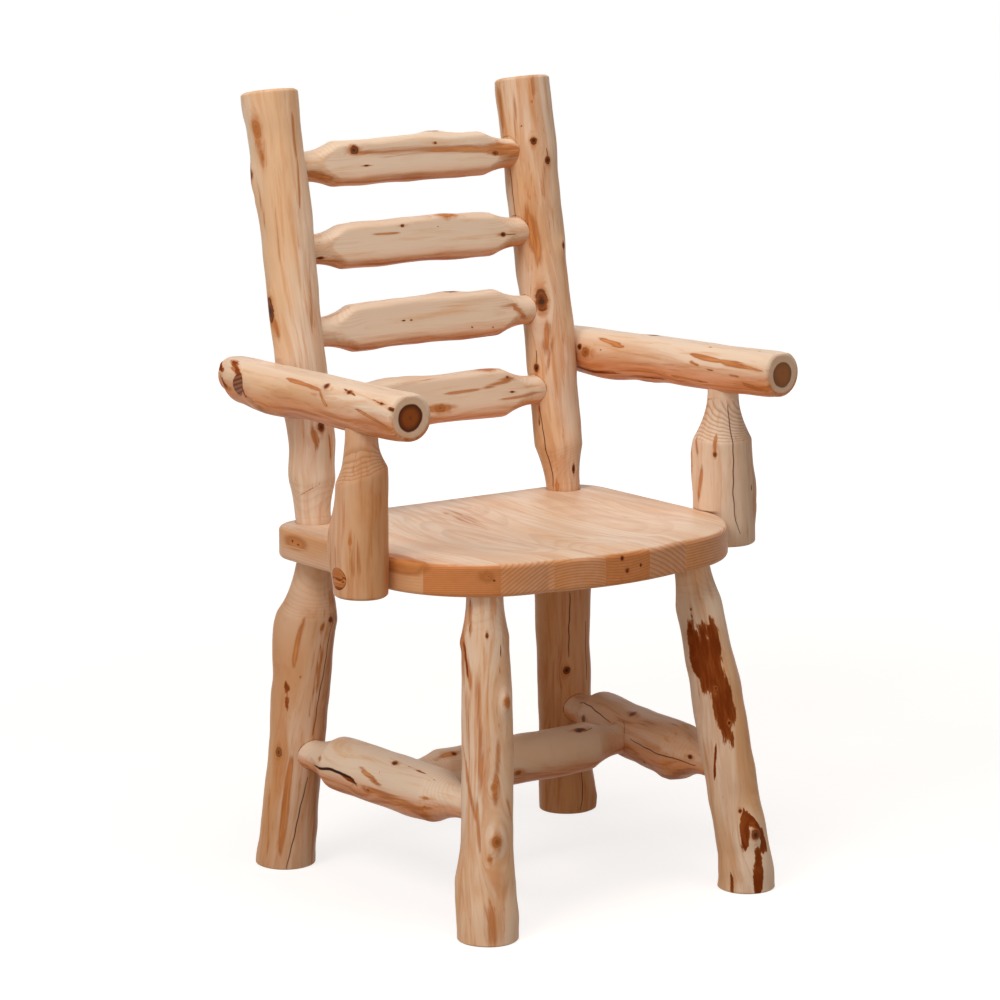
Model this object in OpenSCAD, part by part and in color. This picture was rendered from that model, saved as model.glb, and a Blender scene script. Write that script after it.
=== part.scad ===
// Ladder-back armchair of peeled logs with a glued-up board seat.
// Frame: X to the sitter's left, Y to the back, Z up. The origin lies on the floor under the chair's middle.
// Every log is swept from a form table, and every joint is a round tenon in a bored mortise.

/* [Seat] */
// Height of the seat's top above the floor
seat_h = 460; // [420:1:500]
// Thickness of the seat
seat_t = 41; // [39:1:48]
// Width of the seat
seat_w = 515; // [500:1:540]
// Depth of the seat from its back edge to its front edge
seat_d = 426; // [412:1:450]
// How far the seat's back edge lies behind the origin
seat_back_y = 184; // [176:1:192]
// Width of each inner board of the seat
board_w = 70; // [64:1:78]
// Width of the narrow board along the seat's left edge
edge_board_w = 18; // [10:1:26]
// Radius of the seat's back corners in plan
back_corner_r = 50; // [30:1:52]
// Radius of the seat's front corners in plan
front_corner_r = 150; // [120:1:170]
// How far the front edge bows forward between its corners
front_bow = 16; // [4:1:24]
// Radius of the rounding along the seat's edges
edge_round = 6; // [3:0.5:9]
// Depth of the hollow in the seat's top
dish_depth = 11; // [5:0.5:14]
// Radius of the spheres that hollow the seat
dish_r = 1080; // [900:10:1300]
// How far each hollow lies from the middle of the seat
dish_x = 60; // [20:1:80]
// How far the hollows lie in front of the middle of the seat's depth
dish_forward = 8; // [0:1:20]

/* [Legs] */
// Mean diameter of a leg
leg_d = 70; // [66:1:76]
// Half the distance between the front feet
front_foot_x = 200; // [190:1:214]
// How far the front feet stand in front of the origin
front_foot_y = 244; // [234:1:250]
// How far the left front foot stands in front of the right one
front_foot_turn = 12; // [0:1:14]
// Distance of a front leg's top from the middle plane
front_top_x = 163; // [150:1:180]
// How far the front legs' tops lie in front of the origin
front_top_y = 170; // [156:1:184]
// Half the distance between the rear feet
rear_foot_x = 232; // [220:1:245]
// How far the rear feet stand behind the origin
rear_foot_y = 194; // [180:1:204]
// How far the front feet stand to the right of the middle, and the rear feet to the left of it
foot_skew = 8; // [0:1:14]
// Distance of a rear leg's top from the middle plane
rear_top_x = 200; // [192:1:203]
// Diameter of the tenons on the legs and of those under the back posts
leg_tenon_d = 45; // [42:0.5:47]
// Depth of the front legs' tenons in the seat
front_tenon_l = 28; // [20:1:30]
// Depth of the rear legs' tenons in the seat
rear_tenon_l = 15; // [12:0.5:15]

/* [Stretchers] */
// Height of the stretchers above the floor
stretcher_h = 155; // [130:1:190]
// Mean diameter of a side stretcher
side_stretcher_d = 66; // [60:1:70]
// Mean diameter of the cross stretcher
cross_stretcher_d = 61; // [54:1:64]
// How far the cross stretcher lies in front of the origin
cross_y = 12; // [-20:1:40]
// Diameter of the stretchers' tenons
stretcher_tenon_d = 38; // [34:0.5:42]
// Depth of the stretchers' tenons
stretcher_tenon_l = 24; // [16:1:28]

/* [Back] */
// Mean diameter of a back post
post_d = 70; // [66:1:76]
// Length of a back post above the seat
post_l = 557; // [520:1:600]
// Distance of a back post from the middle plane
post_x = 202; // [196:1:206]
// How far the back posts' feet and the rear legs' tops lie in front of the seat's back edge
post_inset = 32; // [30:1:36]
// Angle at which the back leans, in degrees
back_lean = 9.8; // [6:0.1:13]
// Depth of the back posts' tenons in the seat
post_tenon_l = 15; // [12:0.5:15]
// Height of the lowest slat above the seat, measured along the posts
first_slat_h = 139; // [132:1:142]
// Distance from each slat to the next
slat_pitch = 107; // [100:1:112]
// Mean height of a slat
slat_d = 65; // [58:1:70]
// How far the slats lie in front of the posts' middle
slat_forward = 0.5; // [0:0.5:6]
// Distance from a slat's middle to its planed face
slat_flat = 20; // [16:1:25]
// Diameter of the slats' tenons
slat_tenon_d = 38; // [34:0.5:40]
// Depth of the slats' tenons
slat_tenon_l = 24; // [16:1:28]

/* [Arms] */
// Mean diameter of an arm
arm_d = 64; // [60:1:70]
// Length of an arm
arm_l = 460; // [430:1:480]
// Height of an arm's middle at its front end
arm_front_h = 651; // [645:1:665]
// Height of an arm's middle at its rear end
arm_rear_h = 642; // [635:1:655]
// Distance of an arm's front end from the middle plane
arm_front_x = 291; // [287:1:300]
// Distance of an arm's rear end from the middle plane
arm_rear_x = 257; // [254:1:260]
// How far an arm reaches behind the post that it is screwed to
arm_tail = 80; // [60:1:90]
// Distance from an arm's middle to its planed top
arm_flat = 27; // [24:1:31]
// Mean diameter of an arm's upright
upright_d = 72; // [68:1:76]
// How far the uprights stand in front of the origin
upright_y = 83; // [70:1:100]
// How far an upright hangs below the seat
upright_drop = 5; // [2:1:12]
// How far the uprights' middles stand outside the seat's edge
upright_out = 28; // [25:1:30]
// Diameter of the uprights' tenons
upright_tenon_d = 40; // [36:0.5:42]
// Depth of the uprights' tenons in the arms, from the arms' middle
upright_tenon_up = 8; // [2:1:12]

/* [Fasteners] */
// Diameter of a lag screw
lag_d = 8; // [6:0.5:10]
// Length of a lag screw under its head
lag_l = 85; // [70:1:92]
// Width of a lag screw's hexagon across its flats
lag_head_w = 13; // [11:0.5:15]
// Height of a lag screw's head
lag_head_h = 5.5; // [4:0.5:7]
// Diameter of a washer
washer_d = 24; // [20:0.5:26]
// Thickness of a washer
washer_t = 2; // [1.5:0.1:3]
// Diameter of the wooden plugs over the lag screws
plug_d = 28; // [27:0.5:30]
// Wood left under a lag screw's washer
lag_wood = 32; // [26:1:36]

/* [Fits] */
// Glue gap around a tenon, a plug or a screw
glue_gap = 0.15; // [0.1:0.05:0.3]
// Gap at the blind end of a bore
end_gap = 0.3; // [0.2:0.1:0.6]

/* [Hidden] */

LEFT = 1;
RIGHT = -1;
BIG = 1200;
// Sides of a log's rings, and about how far apart the rings lie.
sides = 20;
ring_step = 26;
// The tenon cutter's bell: how steeply it opens, and how far.
bell_power = 1.8;
bell_rise = 20;
// A neck stands this far proud of its tenon, and ends this far short of the wood that the tenon enters.
neck_step = 0.6;
neck_reveal = 7;
// Rounding at a log's sawn end.
end_round = 4;
// Angle by which a tenon or bore is turned about its own axis.
peg_turn = 50;

pale = "#e3c39c";
heart = "#c98a55";
cream = "#ecd2ae";
steel = "#9a9a98";

// Form tables. A row holds a share of the log's length, the radius there as a share of the mean radius, and
// how far the log wanders in its own two cross directions, in millimetres.
front_leg_left_form = [[0, 1.09, 0, 0], [0.08, 1.02, -5, 0], [0.15, 0.94, -7, 0], [0.32, 0.92, -6, 0],
    [0.62, 0.95, -5, 0], [0.8, 0.87, -2, 0], [1, 0.84, 0, 0]];
front_leg_right_form = [[0, 1.09, 0, 0], [0.08, 1.09, 0, 0], [0.17, 1.03, 1, 1], [0.32, 0.92, 0, 0],
    [0.55, 0.9, 0, 0], [0.7, 0.89, 0, 0], [0.86, 0.85, 0, 0], [1, 0.84, 0, 0]];
rear_leg_left_form = [[0, 1.08, 0, 0], [0.1, 1.1, 0, 2], [0.2, 1.04, 0, 0], [0.5, 1.03, 0, 0],
    [0.8, 1.08, 0, 0], [1, 1.06, 0, 0]];
rear_leg_right_form = [[0, 1.12, 0, 0], [0.14, 1.07, 0, 0], [0.36, 1.02, 0, 0], [0.6, 1.08, -3, 0],
    [0.77, 1.14, -6, 0], [0.88, 1.1, 0, 0], [1, 1.02, 0, 0]];
back_post_left_form = [[0, 0.93, 0, 0], [0.16, 0.93, 0, 0], [0.35, 0.94, 0, -1], [0.58, 1, 1, 0],
    [0.72, 1.04, -1, 0], [0.86, 1.05, 0, 0], [1, 1.1, 0, 0]];
back_post_right_form = [[0, 0.87, 0, 0], [0.1, 0.87, 4, -2], [0.18, 0.87, 8, -4], [0.33, 0.87, 5, -3],
    [0.55, 0.94, 3, -2], [0.74, 0.97, 3, -2], [0.89, 0.96, 2, -1], [1, 1.05, 0, 0]];
slat_1_form = [[0, 0.95, 0, 0], [0.3, 1.01, 0, 0], [0.7, 1, -1, 0], [1, 0.97, 1, 0]];
slat_2_form = [[0, 0.92, 3, 0], [0.25, 0.97, 1, 0], [0.55, 0.97, -1, 0], [1, 0.98, 0, 0]];
slat_3_form = [[0, 0.91, 3, 0], [0.3, 0.92, 2, 0], [0.55, 0.94, 0, 0], [0.8, 0.92, 2, 0], [1, 0.88, 2, 0]];
slat_4_form = [[0, 0.91, 3, 0], [0.3, 0.92, 2, 0], [0.55, 0.95, 0, 0], [0.8, 0.92, 1, 0], [1, 0.89, 3, 0]];
slat_forms = [slat_1_form, slat_2_form, slat_3_form, slat_4_form];
arm_left_form = [[0, 0.6, 0, 0], [0.04, 0.88, 1, 0], [0.1, 1, 1, 0], [0.28, 1.05, 3, 0], [0.5, 0.99, 0, 0],
    [0.7, 1, 1, 0], [0.95, 0.99, 0, 0], [1, 0.94, 0, 0]];
arm_right_form = [[0, 0.5, -9, 0], [0.04, 0.8, -5, 0], [0.1, 0.98, 0, 0], [0.28, 1.05, 3, 0], [0.5, 0.99, 0, 0],
    [0.7, 1, 1, 0], [0.95, 0.99, 0, 0], [1, 0.94, 0, 0]];
upright_left_form = [[0, 1.14, 4, 0], [0.4, 1.13, 3, 0], [0.75, 1.08, 0, 0], [1, 1.02, 0, 0]];
upright_right_form = [[0, 0.95, -3, 0], [0.35, 0.95, -3, 0], [0.7, 0.92, 0, 0], [1, 0.9, 0, 0]];
side_stretcher_left_form = [[0, 1, 0, 0], [0.25, 1.06, 0, 0], [0.5, 1.1, 3, 0], [0.75, 1.13, 4, 0],
    [1, 1.05, 2, 0]];
side_stretcher_right_form = [[0, 1, 0, 0], [0.25, 1.08, 0, 0], [0.6, 1.04, 2, 0], [1, 1, 0, 0]];
cross_stretcher_form = [[0, 0.96, 5, 0], [0.35, 1.03, 7, 0], [0.7, 1.06, 8, 0], [1, 1.02, 5, 0]];

seat_under = seat_h - seat_t;
seat_front_y = seat_back_y - seat_d;
seat_mid_y = (seat_back_y + seat_front_y) / 2;
seat_half = seat_w / 2;
post_y = seat_back_y - post_inset;
leg_tenon_r = leg_tenon_d / 2;
stretcher_tenon_r = stretcher_tenon_d / 2;
slat_tenon_r = slat_tenon_d / 2;
upright_tenon_r = upright_tenon_d / 2;

// Points of the frame, each for the side that is asked for.
function at_side(p, side) = [side * p[0], p[1], p[2]];
function on_line(p, q, share) = p + (q - p) * share;
function front_foot(side) = [side * front_foot_x - foot_skew, -front_foot_y - side * front_foot_turn / 2, 0];
function front_top(side) = [side * front_top_x, -front_top_y, seat_under];
function rear_foot(side) = [side * rear_foot_x + foot_skew, rear_foot_y, 0];
function rear_top(side) = [side * rear_top_x, post_y, seat_under];
function stretcher_front(side) = on_line(front_foot(side), front_top(side), stretcher_h / seat_under);
function stretcher_rear(side) = on_line(rear_foot(side), rear_top(side), stretcher_h / seat_under);
function cross_end(side) =
    let(p = stretcher_rear(side), q = stretcher_front(side))
    on_line(p, q, (p[1] + cross_y) / (p[1] - q[1]));

// The arm: its place where it passes the post, and its two ends.
arm_pass_up = (arm_rear_h - seat_h) * tan(back_lean);
arm_pass_y = post_y + arm_pass_up;
arm_rear = [arm_rear_x, arm_pass_y + arm_tail, arm_rear_h];
arm_run = [arm_front_x - arm_rear_x, -arm_l, arm_front_h - arm_rear_h];
arm_front = arm_rear + arm_run * (arm_l / norm(arm_run));
arm_flat_x = post_x + post_d * 0.43;
arm_notch = arm_d * 0.86;
function arm_at_y(y) = on_line(arm_rear, arm_front, (arm_rear[1] - y) / (arm_rear[1] - arm_front[1]));
upright_top = arm_at_y(-upright_y);
upright_x = seat_half + upright_out;
upright_low = seat_under - upright_drop;
lag_pass = [arm_flat_x + lag_wood, arm_pass_y, arm_at_y(arm_pass_y)[2]];
lag_seat = [seat_half + lag_wood, -upright_y, seat_h - seat_t / 2];

// A smooth curve through the rows of a form table, at a share t of the length.
function row_before(form, t, i = 0) = i >= len(form) - 2 || form[i + 1][0] > t ? i : row_before(form, t, i + 1);
function ease(a, b, u) = a + (b - a) * u * u * (3 - 2 * u);
function form_value(form, t, col) =
    let(i = row_before(form, t), a = form[i], b = form[i + 1], u = (t - a[0]) / (b[0] - a[0]))
    ease(a[col], b[col], min(1, max(0, u)));

// Radius that a tenon cutter leaves at distance d from the end of the neck.
function bell(d, neck_r, bell_l) = neck_r + bell_rise * pow(max(0, d) / bell_l, bell_power);

// Radius of a log at distance s along it: its own form, cut down by the tenon cutter at either end,
// or rounded there if that end has no tenon (a neck radius of 0).
function log_radius(s, l, r, form, neck_0, neck_1, bell_l) =
    let(own = r * form_value(form, s / l, 1))
    min(own - (neck_0 > 0 ? 0 : end_round * pow(max(0, 1 - s / end_round), 2)),
        neck_0 > 0 ? bell(s, neck_0, bell_l) : BIG,
        own - (neck_1 > 0 ? 0 : end_round * pow(max(0, 1 - (l - s) / end_round), 2)),
        neck_1 > 0 ? bell(l - s, neck_1, bell_l) : BIG);

// Distances along a log at which it gets a ring: even steps, and two close rings at each rounded end.
function log_stations(l, neck_0, neck_1) =
    let(n = ceil(l / ring_step), first = neck_0 > 0 ? [0] : [0, end_round / 2, end_round],
        last = neck_1 > 0 ? [l] : [l - end_round, l - end_round / 2, l])
    concat(first, [for (i = [1 : n - 1]) l * i / n], last);

// A log from z = 0 to z = l. It is one closed sweep of round rings.
module log_body(l, r, form, neck_0 = 0, neck_1 = 0, bell_l = 60) {
    stations = log_stations(l, neck_0, neck_1);
    rings = [for (s = stations)
        let(radius = log_radius(s, l, r, form, neck_0, neck_1, bell_l),
            dx = form_value(form, s / l, 2), dy = form_value(form, s / l, 3))
        for (k = [0 : sides - 1])
            [dx + radius * cos(360 * k / sides), dy + radius * sin(360 * k / sides), s]];
    last = len(stations) - 1;
    walls = [for (i = [0 : last - 1], k = [0 : sides - 1])
        let(a = i * sides + k, b = i * sides + (k + 1) % sides)
        each [[a, a + sides, b + sides], [a, b + sides, b]]];
    caps = [[for (k = [0 : sides - 1]) k], [for (k = [sides - 1 : -1 : 0]) last * sides + k]];
    polyhedron(points = rings, faces = concat(walls, caps), convexity = 4);
}

// Places its children so that their z axis runs from p to q.
module along(p, q) {
    v = q - p;
    translate(p) rotate([0, acos(v[2] / norm(v)), atan2(v[1], v[0])]) children();
}

// A round tenon or its mortise from point p, for length l towards q, and back over the neck.
// It is turned about its own axis so that no line along it lies in the plane in which it leans.
module peg(p, q, l, r, back = 0) {
    along(p, q) rotate([0, 0, peg_turn]) translate([0, 0, -back]) cylinder(h = l + back, r = r, $fn = 64);
}

module mortise(p, q, l, r) {
    peg(p, q, l + end_gap, r + glue_gap, back = 40);
}

// Everything below a height.
module below(z) {
    translate([-BIG, -BIG, z - BIG]) cube([2 * BIG, 2 * BIG, BIG]);
}

// Outline of the seat in plan, drawn in by inset: two back corners, then the bowed front between its corners.
function corner_arc(cx, cy, r, from, to, n) =
    [for (i = [0 : n]) [cx + r * cos(from + (to - from) * i / n), cy + r * sin(from + (to - from) * i / n)]];
function seat_outline(inset) =
    let(rb = back_corner_r - inset, rf = front_corner_r - inset,
        yb = seat_back_y - back_corner_r, yf = seat_front_y + front_corner_r + front_bow,
        xb = seat_half - back_corner_r, xf = seat_half - front_corner_r,
        front = yf - rf)
    concat(corner_arc(xb, yb, rb, 0, 90, 5), corner_arc(-xb, yb, rb, 90, 180, 5),
        corner_arc(-xf, yf, rf, 180, 264, 9),
        [for (i = [1 : 7]) let(x = -xf + 2 * xf * i / 8) [x, front - front_bow * (1 - pow(x / xf, 2))]],
        corner_arc(xf, yf, rf, 276, 360, 9));

// The whole seat before it is hollowed and bored: its outline carried up over a rounded edge.
module seat_blank() {
    steps = 3;
    low = [for (i = [0 : steps]) let(a = 90 * i / steps)
        [edge_round * (1 - sin(a)), seat_under + edge_round * (1 - cos(a))]];
    high = [for (i = [0 : steps]) let(a = 90 * i / steps)
        [edge_round * (1 - cos(a)), seat_h - edge_round * (1 - sin(a))]];
    levels = concat(low, high);
    n = len(seat_outline(0));
    points = [for (level = levels) for (p = seat_outline(level[0])) [p[0], p[1], level[1]]];
    last = len(levels) - 1;
    walls = [for (i = [0 : last - 1], k = [0 : n - 1])
        let(a = i * n + k, b = i * n + (k + 1) % n)
        each [[a, a + n, b + n], [a, b + n, b]]];
    caps = [[for (k = [0 : n - 1]) k], [for (k = [n - 1 : -1 : 0]) last * n + k]];
    polyhedron(points = points, faces = concat(walls, caps), convexity = 4);
}

module seat_hollow() {
    for (side = [LEFT, RIGHT])
        translate([side * dish_x, seat_mid_y - dish_forward, seat_h + dish_r - dish_depth])
            sphere(r = dish_r, $fn = 200);
}

module seat_bores() {
    for (side = [LEFT, RIGHT]) {
        mortise(front_top(side), beyond(front_foot(side), front_top(side)), front_tenon_l, leg_tenon_r);
        mortise(rear_top(side), beyond(rear_foot(side), rear_top(side)), rear_tenon_l, leg_tenon_r);
        back_frame() translate([side * post_x, 0, -post_tenon_l - end_gap])
            cylinder(h = post_tenon_l + end_gap + 40, r = leg_tenon_r + glue_gap, $fn = 64);
        lag_hole(at_side(lag_seat, side), side);
    }
}

// Where board i ends on its right, counted from the seat's edge at negative X.
function board_edge(i) = i == 0 ? -seat_half - 1 : i == 8 ? seat_half + 1
    : -seat_half + edge_board_w + board_w * (i - 1);

module seat_board(i) {
    color(i % 3 == 1 ? heart : i % 3 == 2 ? pale : cream) difference() {
        intersection() {
            seat_blank();
            translate([board_edge(i - 1), -BIG / 2, 0]) cube([board_edge(i) - board_edge(i - 1), BIG, BIG]);
        }
        seat_hollow();
        seat_bores();
    }
}

// The point as far beyond q as p lies before it.
function beyond(p, q) = 2 * q - p;

// A leg from its foot p to its top q at the seat's underside. The floor trims the foot.
module leg(p, q, form, tenon_l) {
    l = norm(q - p);
    sole = 12;
    start = p - (q - p) * (sole / l);
    color(pale) difference() {
        union() {
            along(start, q) log_body(l + sole - neck_reveal, leg_d / 2, form, neck_1 = leg_tenon_r + neck_step,
                bell_l = 84);
            peg(q, beyond(p, q), tenon_l, leg_tenon_r, back = neck_reveal + 10);
        }
        below(0);
    }
}

module front_leg(side, form) {
    difference() {
        leg(front_foot(side), front_top(side), form, front_tenon_l);
        stretcher_mortise(stretcher_rear(side), stretcher_front(side));
    }
}

module rear_leg(side, form) {
    difference() {
        leg(rear_foot(side), rear_top(side), form, rear_tenon_l);
        stretcher_mortise(stretcher_front(side), stretcher_rear(side));
    }
}

// The bore for the tenon of a side stretcher that runs from p to the leg at q.
module stretcher_mortise(p, q) {
    l = norm(q - p);
    mortise(on_line(p, q, (l - leg_d / 2) / l), q, stretcher_tenon_l, stretcher_tenon_r);
}

module side_stretcher(side, form) {
    p = stretcher_rear(side);
    q = stretcher_front(side);
    l = norm(q - p);
    gap = leg_d / 2 + neck_reveal;
    neck = stretcher_tenon_r + neck_step;
    reach = l - leg_d + 2 * stretcher_tenon_l;
    color(pale) difference() {
        union() {
            along(on_line(p, q, gap / l), q) log_body(l - 2 * gap, side_stretcher_d / 2, form, neck, neck, 62);
            peg(on_line(p, q, (leg_d / 2 - stretcher_tenon_l) / l), q, reach, stretcher_tenon_r);
        }
        cross_mortise(side);
    }
}

// The bore in a side stretcher for the cross stretcher's tenon.
module cross_mortise(side) {
    p = cross_end(-side);
    q = cross_end(side);
    l = norm(q - p);
    mortise(on_line(p, q, (l - side_stretcher_d / 2) / l), q, stretcher_tenon_l, stretcher_tenon_r);
}

module cross_stretcher() {
    p = cross_end(RIGHT);
    q = cross_end(LEFT);
    l = norm(q - p);
    gap = side_stretcher_d / 2 + neck_reveal;
    neck = stretcher_tenon_r + neck_step;
    reach = l - side_stretcher_d + 2 * stretcher_tenon_l;
    color(heart) {
        along(on_line(p, q, gap / l), q)
            log_body(l - 2 * gap, cross_stretcher_d / 2, cross_stretcher_form, neck, neck, 62);
        peg(on_line(p, q, (side_stretcher_d / 2 - stretcher_tenon_l) / l), q, reach, stretcher_tenon_r);
    }
}

// Places its children in the leaning frame of the back: z runs up the posts from the seat's top.
module back_frame() {
    translate([0, post_y, seat_h]) rotate([-back_lean, 0, 0]) children();
}

function slat_h(i) = first_slat_h + slat_pitch * (i - 1);

// The slats' tenons or, with a gap, their mortises: one bar from post to post.
module slat_bar(i, gap_r, gap_l) {
    reach = post_x - post_d / 2 + slat_tenon_l + gap_l;
    translate([-reach, -slat_forward, slat_h(i)]) rotate([0, 90, 0])
        cylinder(h = 2 * reach, r = slat_tenon_r + gap_r, $fn = 64);
}

module back_post(side, form) {
    color(pale) difference() {
        back_frame() union() {
            translate([side * post_x, 0, neck_reveal])
                log_body(post_l - neck_reveal, post_d / 2, form, neck_0 = leg_tenon_r + neck_step, bell_l = 80);
            translate([side * post_x, 0, -post_tenon_l])
                cylinder(h = post_tenon_l + neck_reveal + 10, r = leg_tenon_r, $fn = 64);
        }
        back_frame() for (i = [1 : 4]) slat_bar(i, glue_gap, end_gap);
        translate([side > 0 ? arm_flat_x : -arm_flat_x - BIG, 0, lag_pass[2] - arm_notch / 2])
            cube([BIG, BIG, arm_notch]);
        lag_hole(at_side(lag_pass, side), side);
    }
}

module back_slat(i) {
    inner = post_x - post_d / 2 - neck_reveal;
    neck = slat_tenon_r + neck_step;
    color(cream) back_frame() {
        difference() {
            translate([-inner, -slat_forward, slat_h(i)]) rotate([0, 90, 0])
                log_body(2 * inner, slat_d / 2, slat_forms[i - 1], neck, neck, 60);
            translate([-BIG / 2, -slat_forward - slat_flat - BIG, slat_h(i) - slat_d])
                cube([BIG, BIG, 2 * slat_d]);
        }
        slat_bar(i, 0, 0);
    }
}

module arm_log(side) {
    along(at_side(arm_rear, side), at_side(arm_front, side))
        log_body(arm_l, arm_d / 2, side == LEFT ? arm_left_form : arm_right_form);
}

module arm(side) {
    q = at_side(upright_top, side);
    color(pale) difference() {
        arm_log(side);
        along(at_side(arm_rear, side), at_side(arm_front, side))
            translate([-arm_flat - BIG, -BIG / 2, -BIG / 2]) cube([BIG, BIG, 2 * BIG]);
        translate([side > 0 ? arm_flat_x - BIG : -arm_flat_x, 0, 0]) cube([BIG, BIG, BIG]);
        translate([side * upright_x, -upright_y, q[2] - arm_d])
            cylinder(h = arm_d + upright_tenon_up + end_gap, r = upright_tenon_r + glue_gap, $fn = 64);
        lag_hole(at_side(lag_pass, side), side);
        lag_counterbore(at_side(lag_pass, side), side);
    }
}

module upright_log(side) {
    translate([side * upright_x, -upright_y, upright_low])
        log_body(upright_top[2] - arm_d / 2 - neck_reveal - upright_low, upright_d / 2,
            side == LEFT ? upright_left_form : upright_right_form,
            neck_1 = upright_tenon_r + neck_step, bell_l = 60);
}

module arm_upright(side) {
    color(cream) difference() {
        union() {
            upright_log(side);
            translate([side * upright_x, -upright_y, upright_top[2] - arm_d])
                cylinder(h = arm_d + upright_tenon_up, r = upright_tenon_r, $fn = 64);
        }
        translate([side > 0 ? 0 : -seat_half, -BIG, seat_h - BIG]) cube([seat_half, BIG, BIG]);
        lag_hole(at_side(lag_seat, side), side);
        lag_counterbore(at_side(lag_seat, side), side);
    }
}

// Places its children with z running from the outside of the chair inwards, from point p.
module inwards(p, side) {
    translate(p) rotate([0, -side * 90, 0]) children();
}

module lag_hole(p, side) {
    inwards(p, side) translate([0, 0, -1])
        cylinder(h = lag_l + 1 + end_gap, r = lag_d / 2 + glue_gap, $fn = 48);
}

module lag_counterbore(p, side) {
    inwards(p, side) translate([0, 0, -BIG / 4]) cylinder(h = BIG / 4, r = plug_d / 2 + glue_gap, $fn = 64);
}

// A lag screw: hexagon head, plain shank, ringed thread and a point.
module lag_screw() {
    core = lag_d * 0.36;
    thread_0 = washer_t + lag_l * 0.4;
    pitch = 4;
    turns = floor((lag_l - 12 - lag_l * 0.4) / pitch);
    profile = concat([[0, -lag_head_h / 2], [lag_d / 2, -lag_head_h / 2], [lag_d / 2, thread_0 - washer_t]],
        [for (i = [0 : turns - 1]) each [[core, thread_0 - washer_t + pitch * (i + 0.5)],
            [lag_d / 2, thread_0 - washer_t + pitch * (i + 1)]]],
        [[0, lag_l]]);
    translate([0, 0, -washer_t]) {
        rotate_extrude($fn = 48) polygon(profile);
        translate([0, 0, -lag_head_h]) cylinder(h = lag_head_h, d = lag_head_w / cos(30), $fn = 6);
    }
}

module lag_places() {
    for (side = [LEFT, RIGHT]) {
        inwards(at_side(lag_pass, side), side) children();
        inwards(at_side(lag_seat, side), side) children();
    }
}

module lag_screws() {
    color(steel) lag_places() lag_screw();
}

module lag_washers() {
    color(steel) lag_places() translate([0, 0, -washer_t]) difference() {
        cylinder(h = washer_t, d = washer_d, $fn = 64);
        translate([0, 0, -1]) cylinder(h = washer_t + 2, r = lag_d / 2 + glue_gap, $fn = 48);
    }
}

// A plug fills its counterbore from the screw's head out to the log's own round surface.
module plug(p, side) {
    inwards(p, side) translate([0, 0, -BIG / 4])
        cylinder(h = BIG / 4 - washer_t - lag_head_h - end_gap, r = plug_d / 2, $fn = 64);
}

module screw_plugs() {
    for (side = [LEFT, RIGHT]) {
        color(heart) intersection() {
            plug(at_side(lag_pass, side), side);
            arm_log(side);
        }
        color(heart) intersection() {
            plug(at_side(lag_seat, side), side);
            upright_log(side);
        }
    }
}

seat_board(1);  // seat_board_1
seat_board(2);  // seat_board_2
seat_board(3);  // seat_board_3
seat_board(4);  // seat_board_4
seat_board(5);  // seat_board_5
seat_board(6);  // seat_board_6
seat_board(7);  // seat_board_7
seat_board(8);  // seat_board_8
front_leg(LEFT, front_leg_left_form);  // front_leg_left
front_leg(RIGHT, front_leg_right_form);  // front_leg_right
rear_leg(LEFT, rear_leg_left_form);  // rear_leg_left
rear_leg(RIGHT, rear_leg_right_form);  // rear_leg_right
side_stretcher(LEFT, side_stretcher_left_form);  // side_stretcher_left
side_stretcher(RIGHT, side_stretcher_right_form);  // side_stretcher_right
cross_stretcher();
back_post(LEFT, back_post_left_form);  // back_post_left
back_post(RIGHT, back_post_right_form);  // back_post_right
back_slat(1);  // back_slat_1
back_slat(2);  // back_slat_2
back_slat(3);  // back_slat_3
back_slat(4);  // back_slat_4
arm(LEFT);  // arm_left
arm(RIGHT);  // arm_right
arm_upright(LEFT);  // arm_upright_left
arm_upright(RIGHT);  // arm_upright_right
lag_screws();
lag_washers();
screw_plugs();
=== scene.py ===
import bpy
import numpy as np
from bpy.props import FloatProperty, FloatVectorProperty, IntProperty, PointerProperty
from bpy.types import Operator, Panel, PropertyGroup
from mathutils import Euler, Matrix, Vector


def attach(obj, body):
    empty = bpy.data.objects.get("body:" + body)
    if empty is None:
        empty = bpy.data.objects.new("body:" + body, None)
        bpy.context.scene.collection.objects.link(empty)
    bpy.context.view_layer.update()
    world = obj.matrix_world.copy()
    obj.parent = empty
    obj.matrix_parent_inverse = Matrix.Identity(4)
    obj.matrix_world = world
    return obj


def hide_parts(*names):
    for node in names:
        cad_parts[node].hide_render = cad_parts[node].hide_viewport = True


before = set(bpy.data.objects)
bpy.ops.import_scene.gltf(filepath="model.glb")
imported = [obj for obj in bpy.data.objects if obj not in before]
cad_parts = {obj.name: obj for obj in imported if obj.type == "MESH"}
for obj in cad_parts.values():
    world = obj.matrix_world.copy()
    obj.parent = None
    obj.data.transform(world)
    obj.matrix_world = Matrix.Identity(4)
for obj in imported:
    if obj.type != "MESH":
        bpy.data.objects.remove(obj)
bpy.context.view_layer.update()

bl_info = {
    "name": "Peeled log armchair",
    "version": (1, 0, 0),
    "blender": (4, 5, 0),
    "location": "3D View > Sidebar > Log chair",
    "description": "Dresses a log ladder-back armchair: peeled logs, a glued-up seat, plugs and lag screws",
    "category": "Add Mesh",
}

MM = 0.001
LEFT, RIGHT = 1, -1
SIDES = ((LEFT, "left"), (RIGHT, "right"))
TAU = 2 * np.pi

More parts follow.
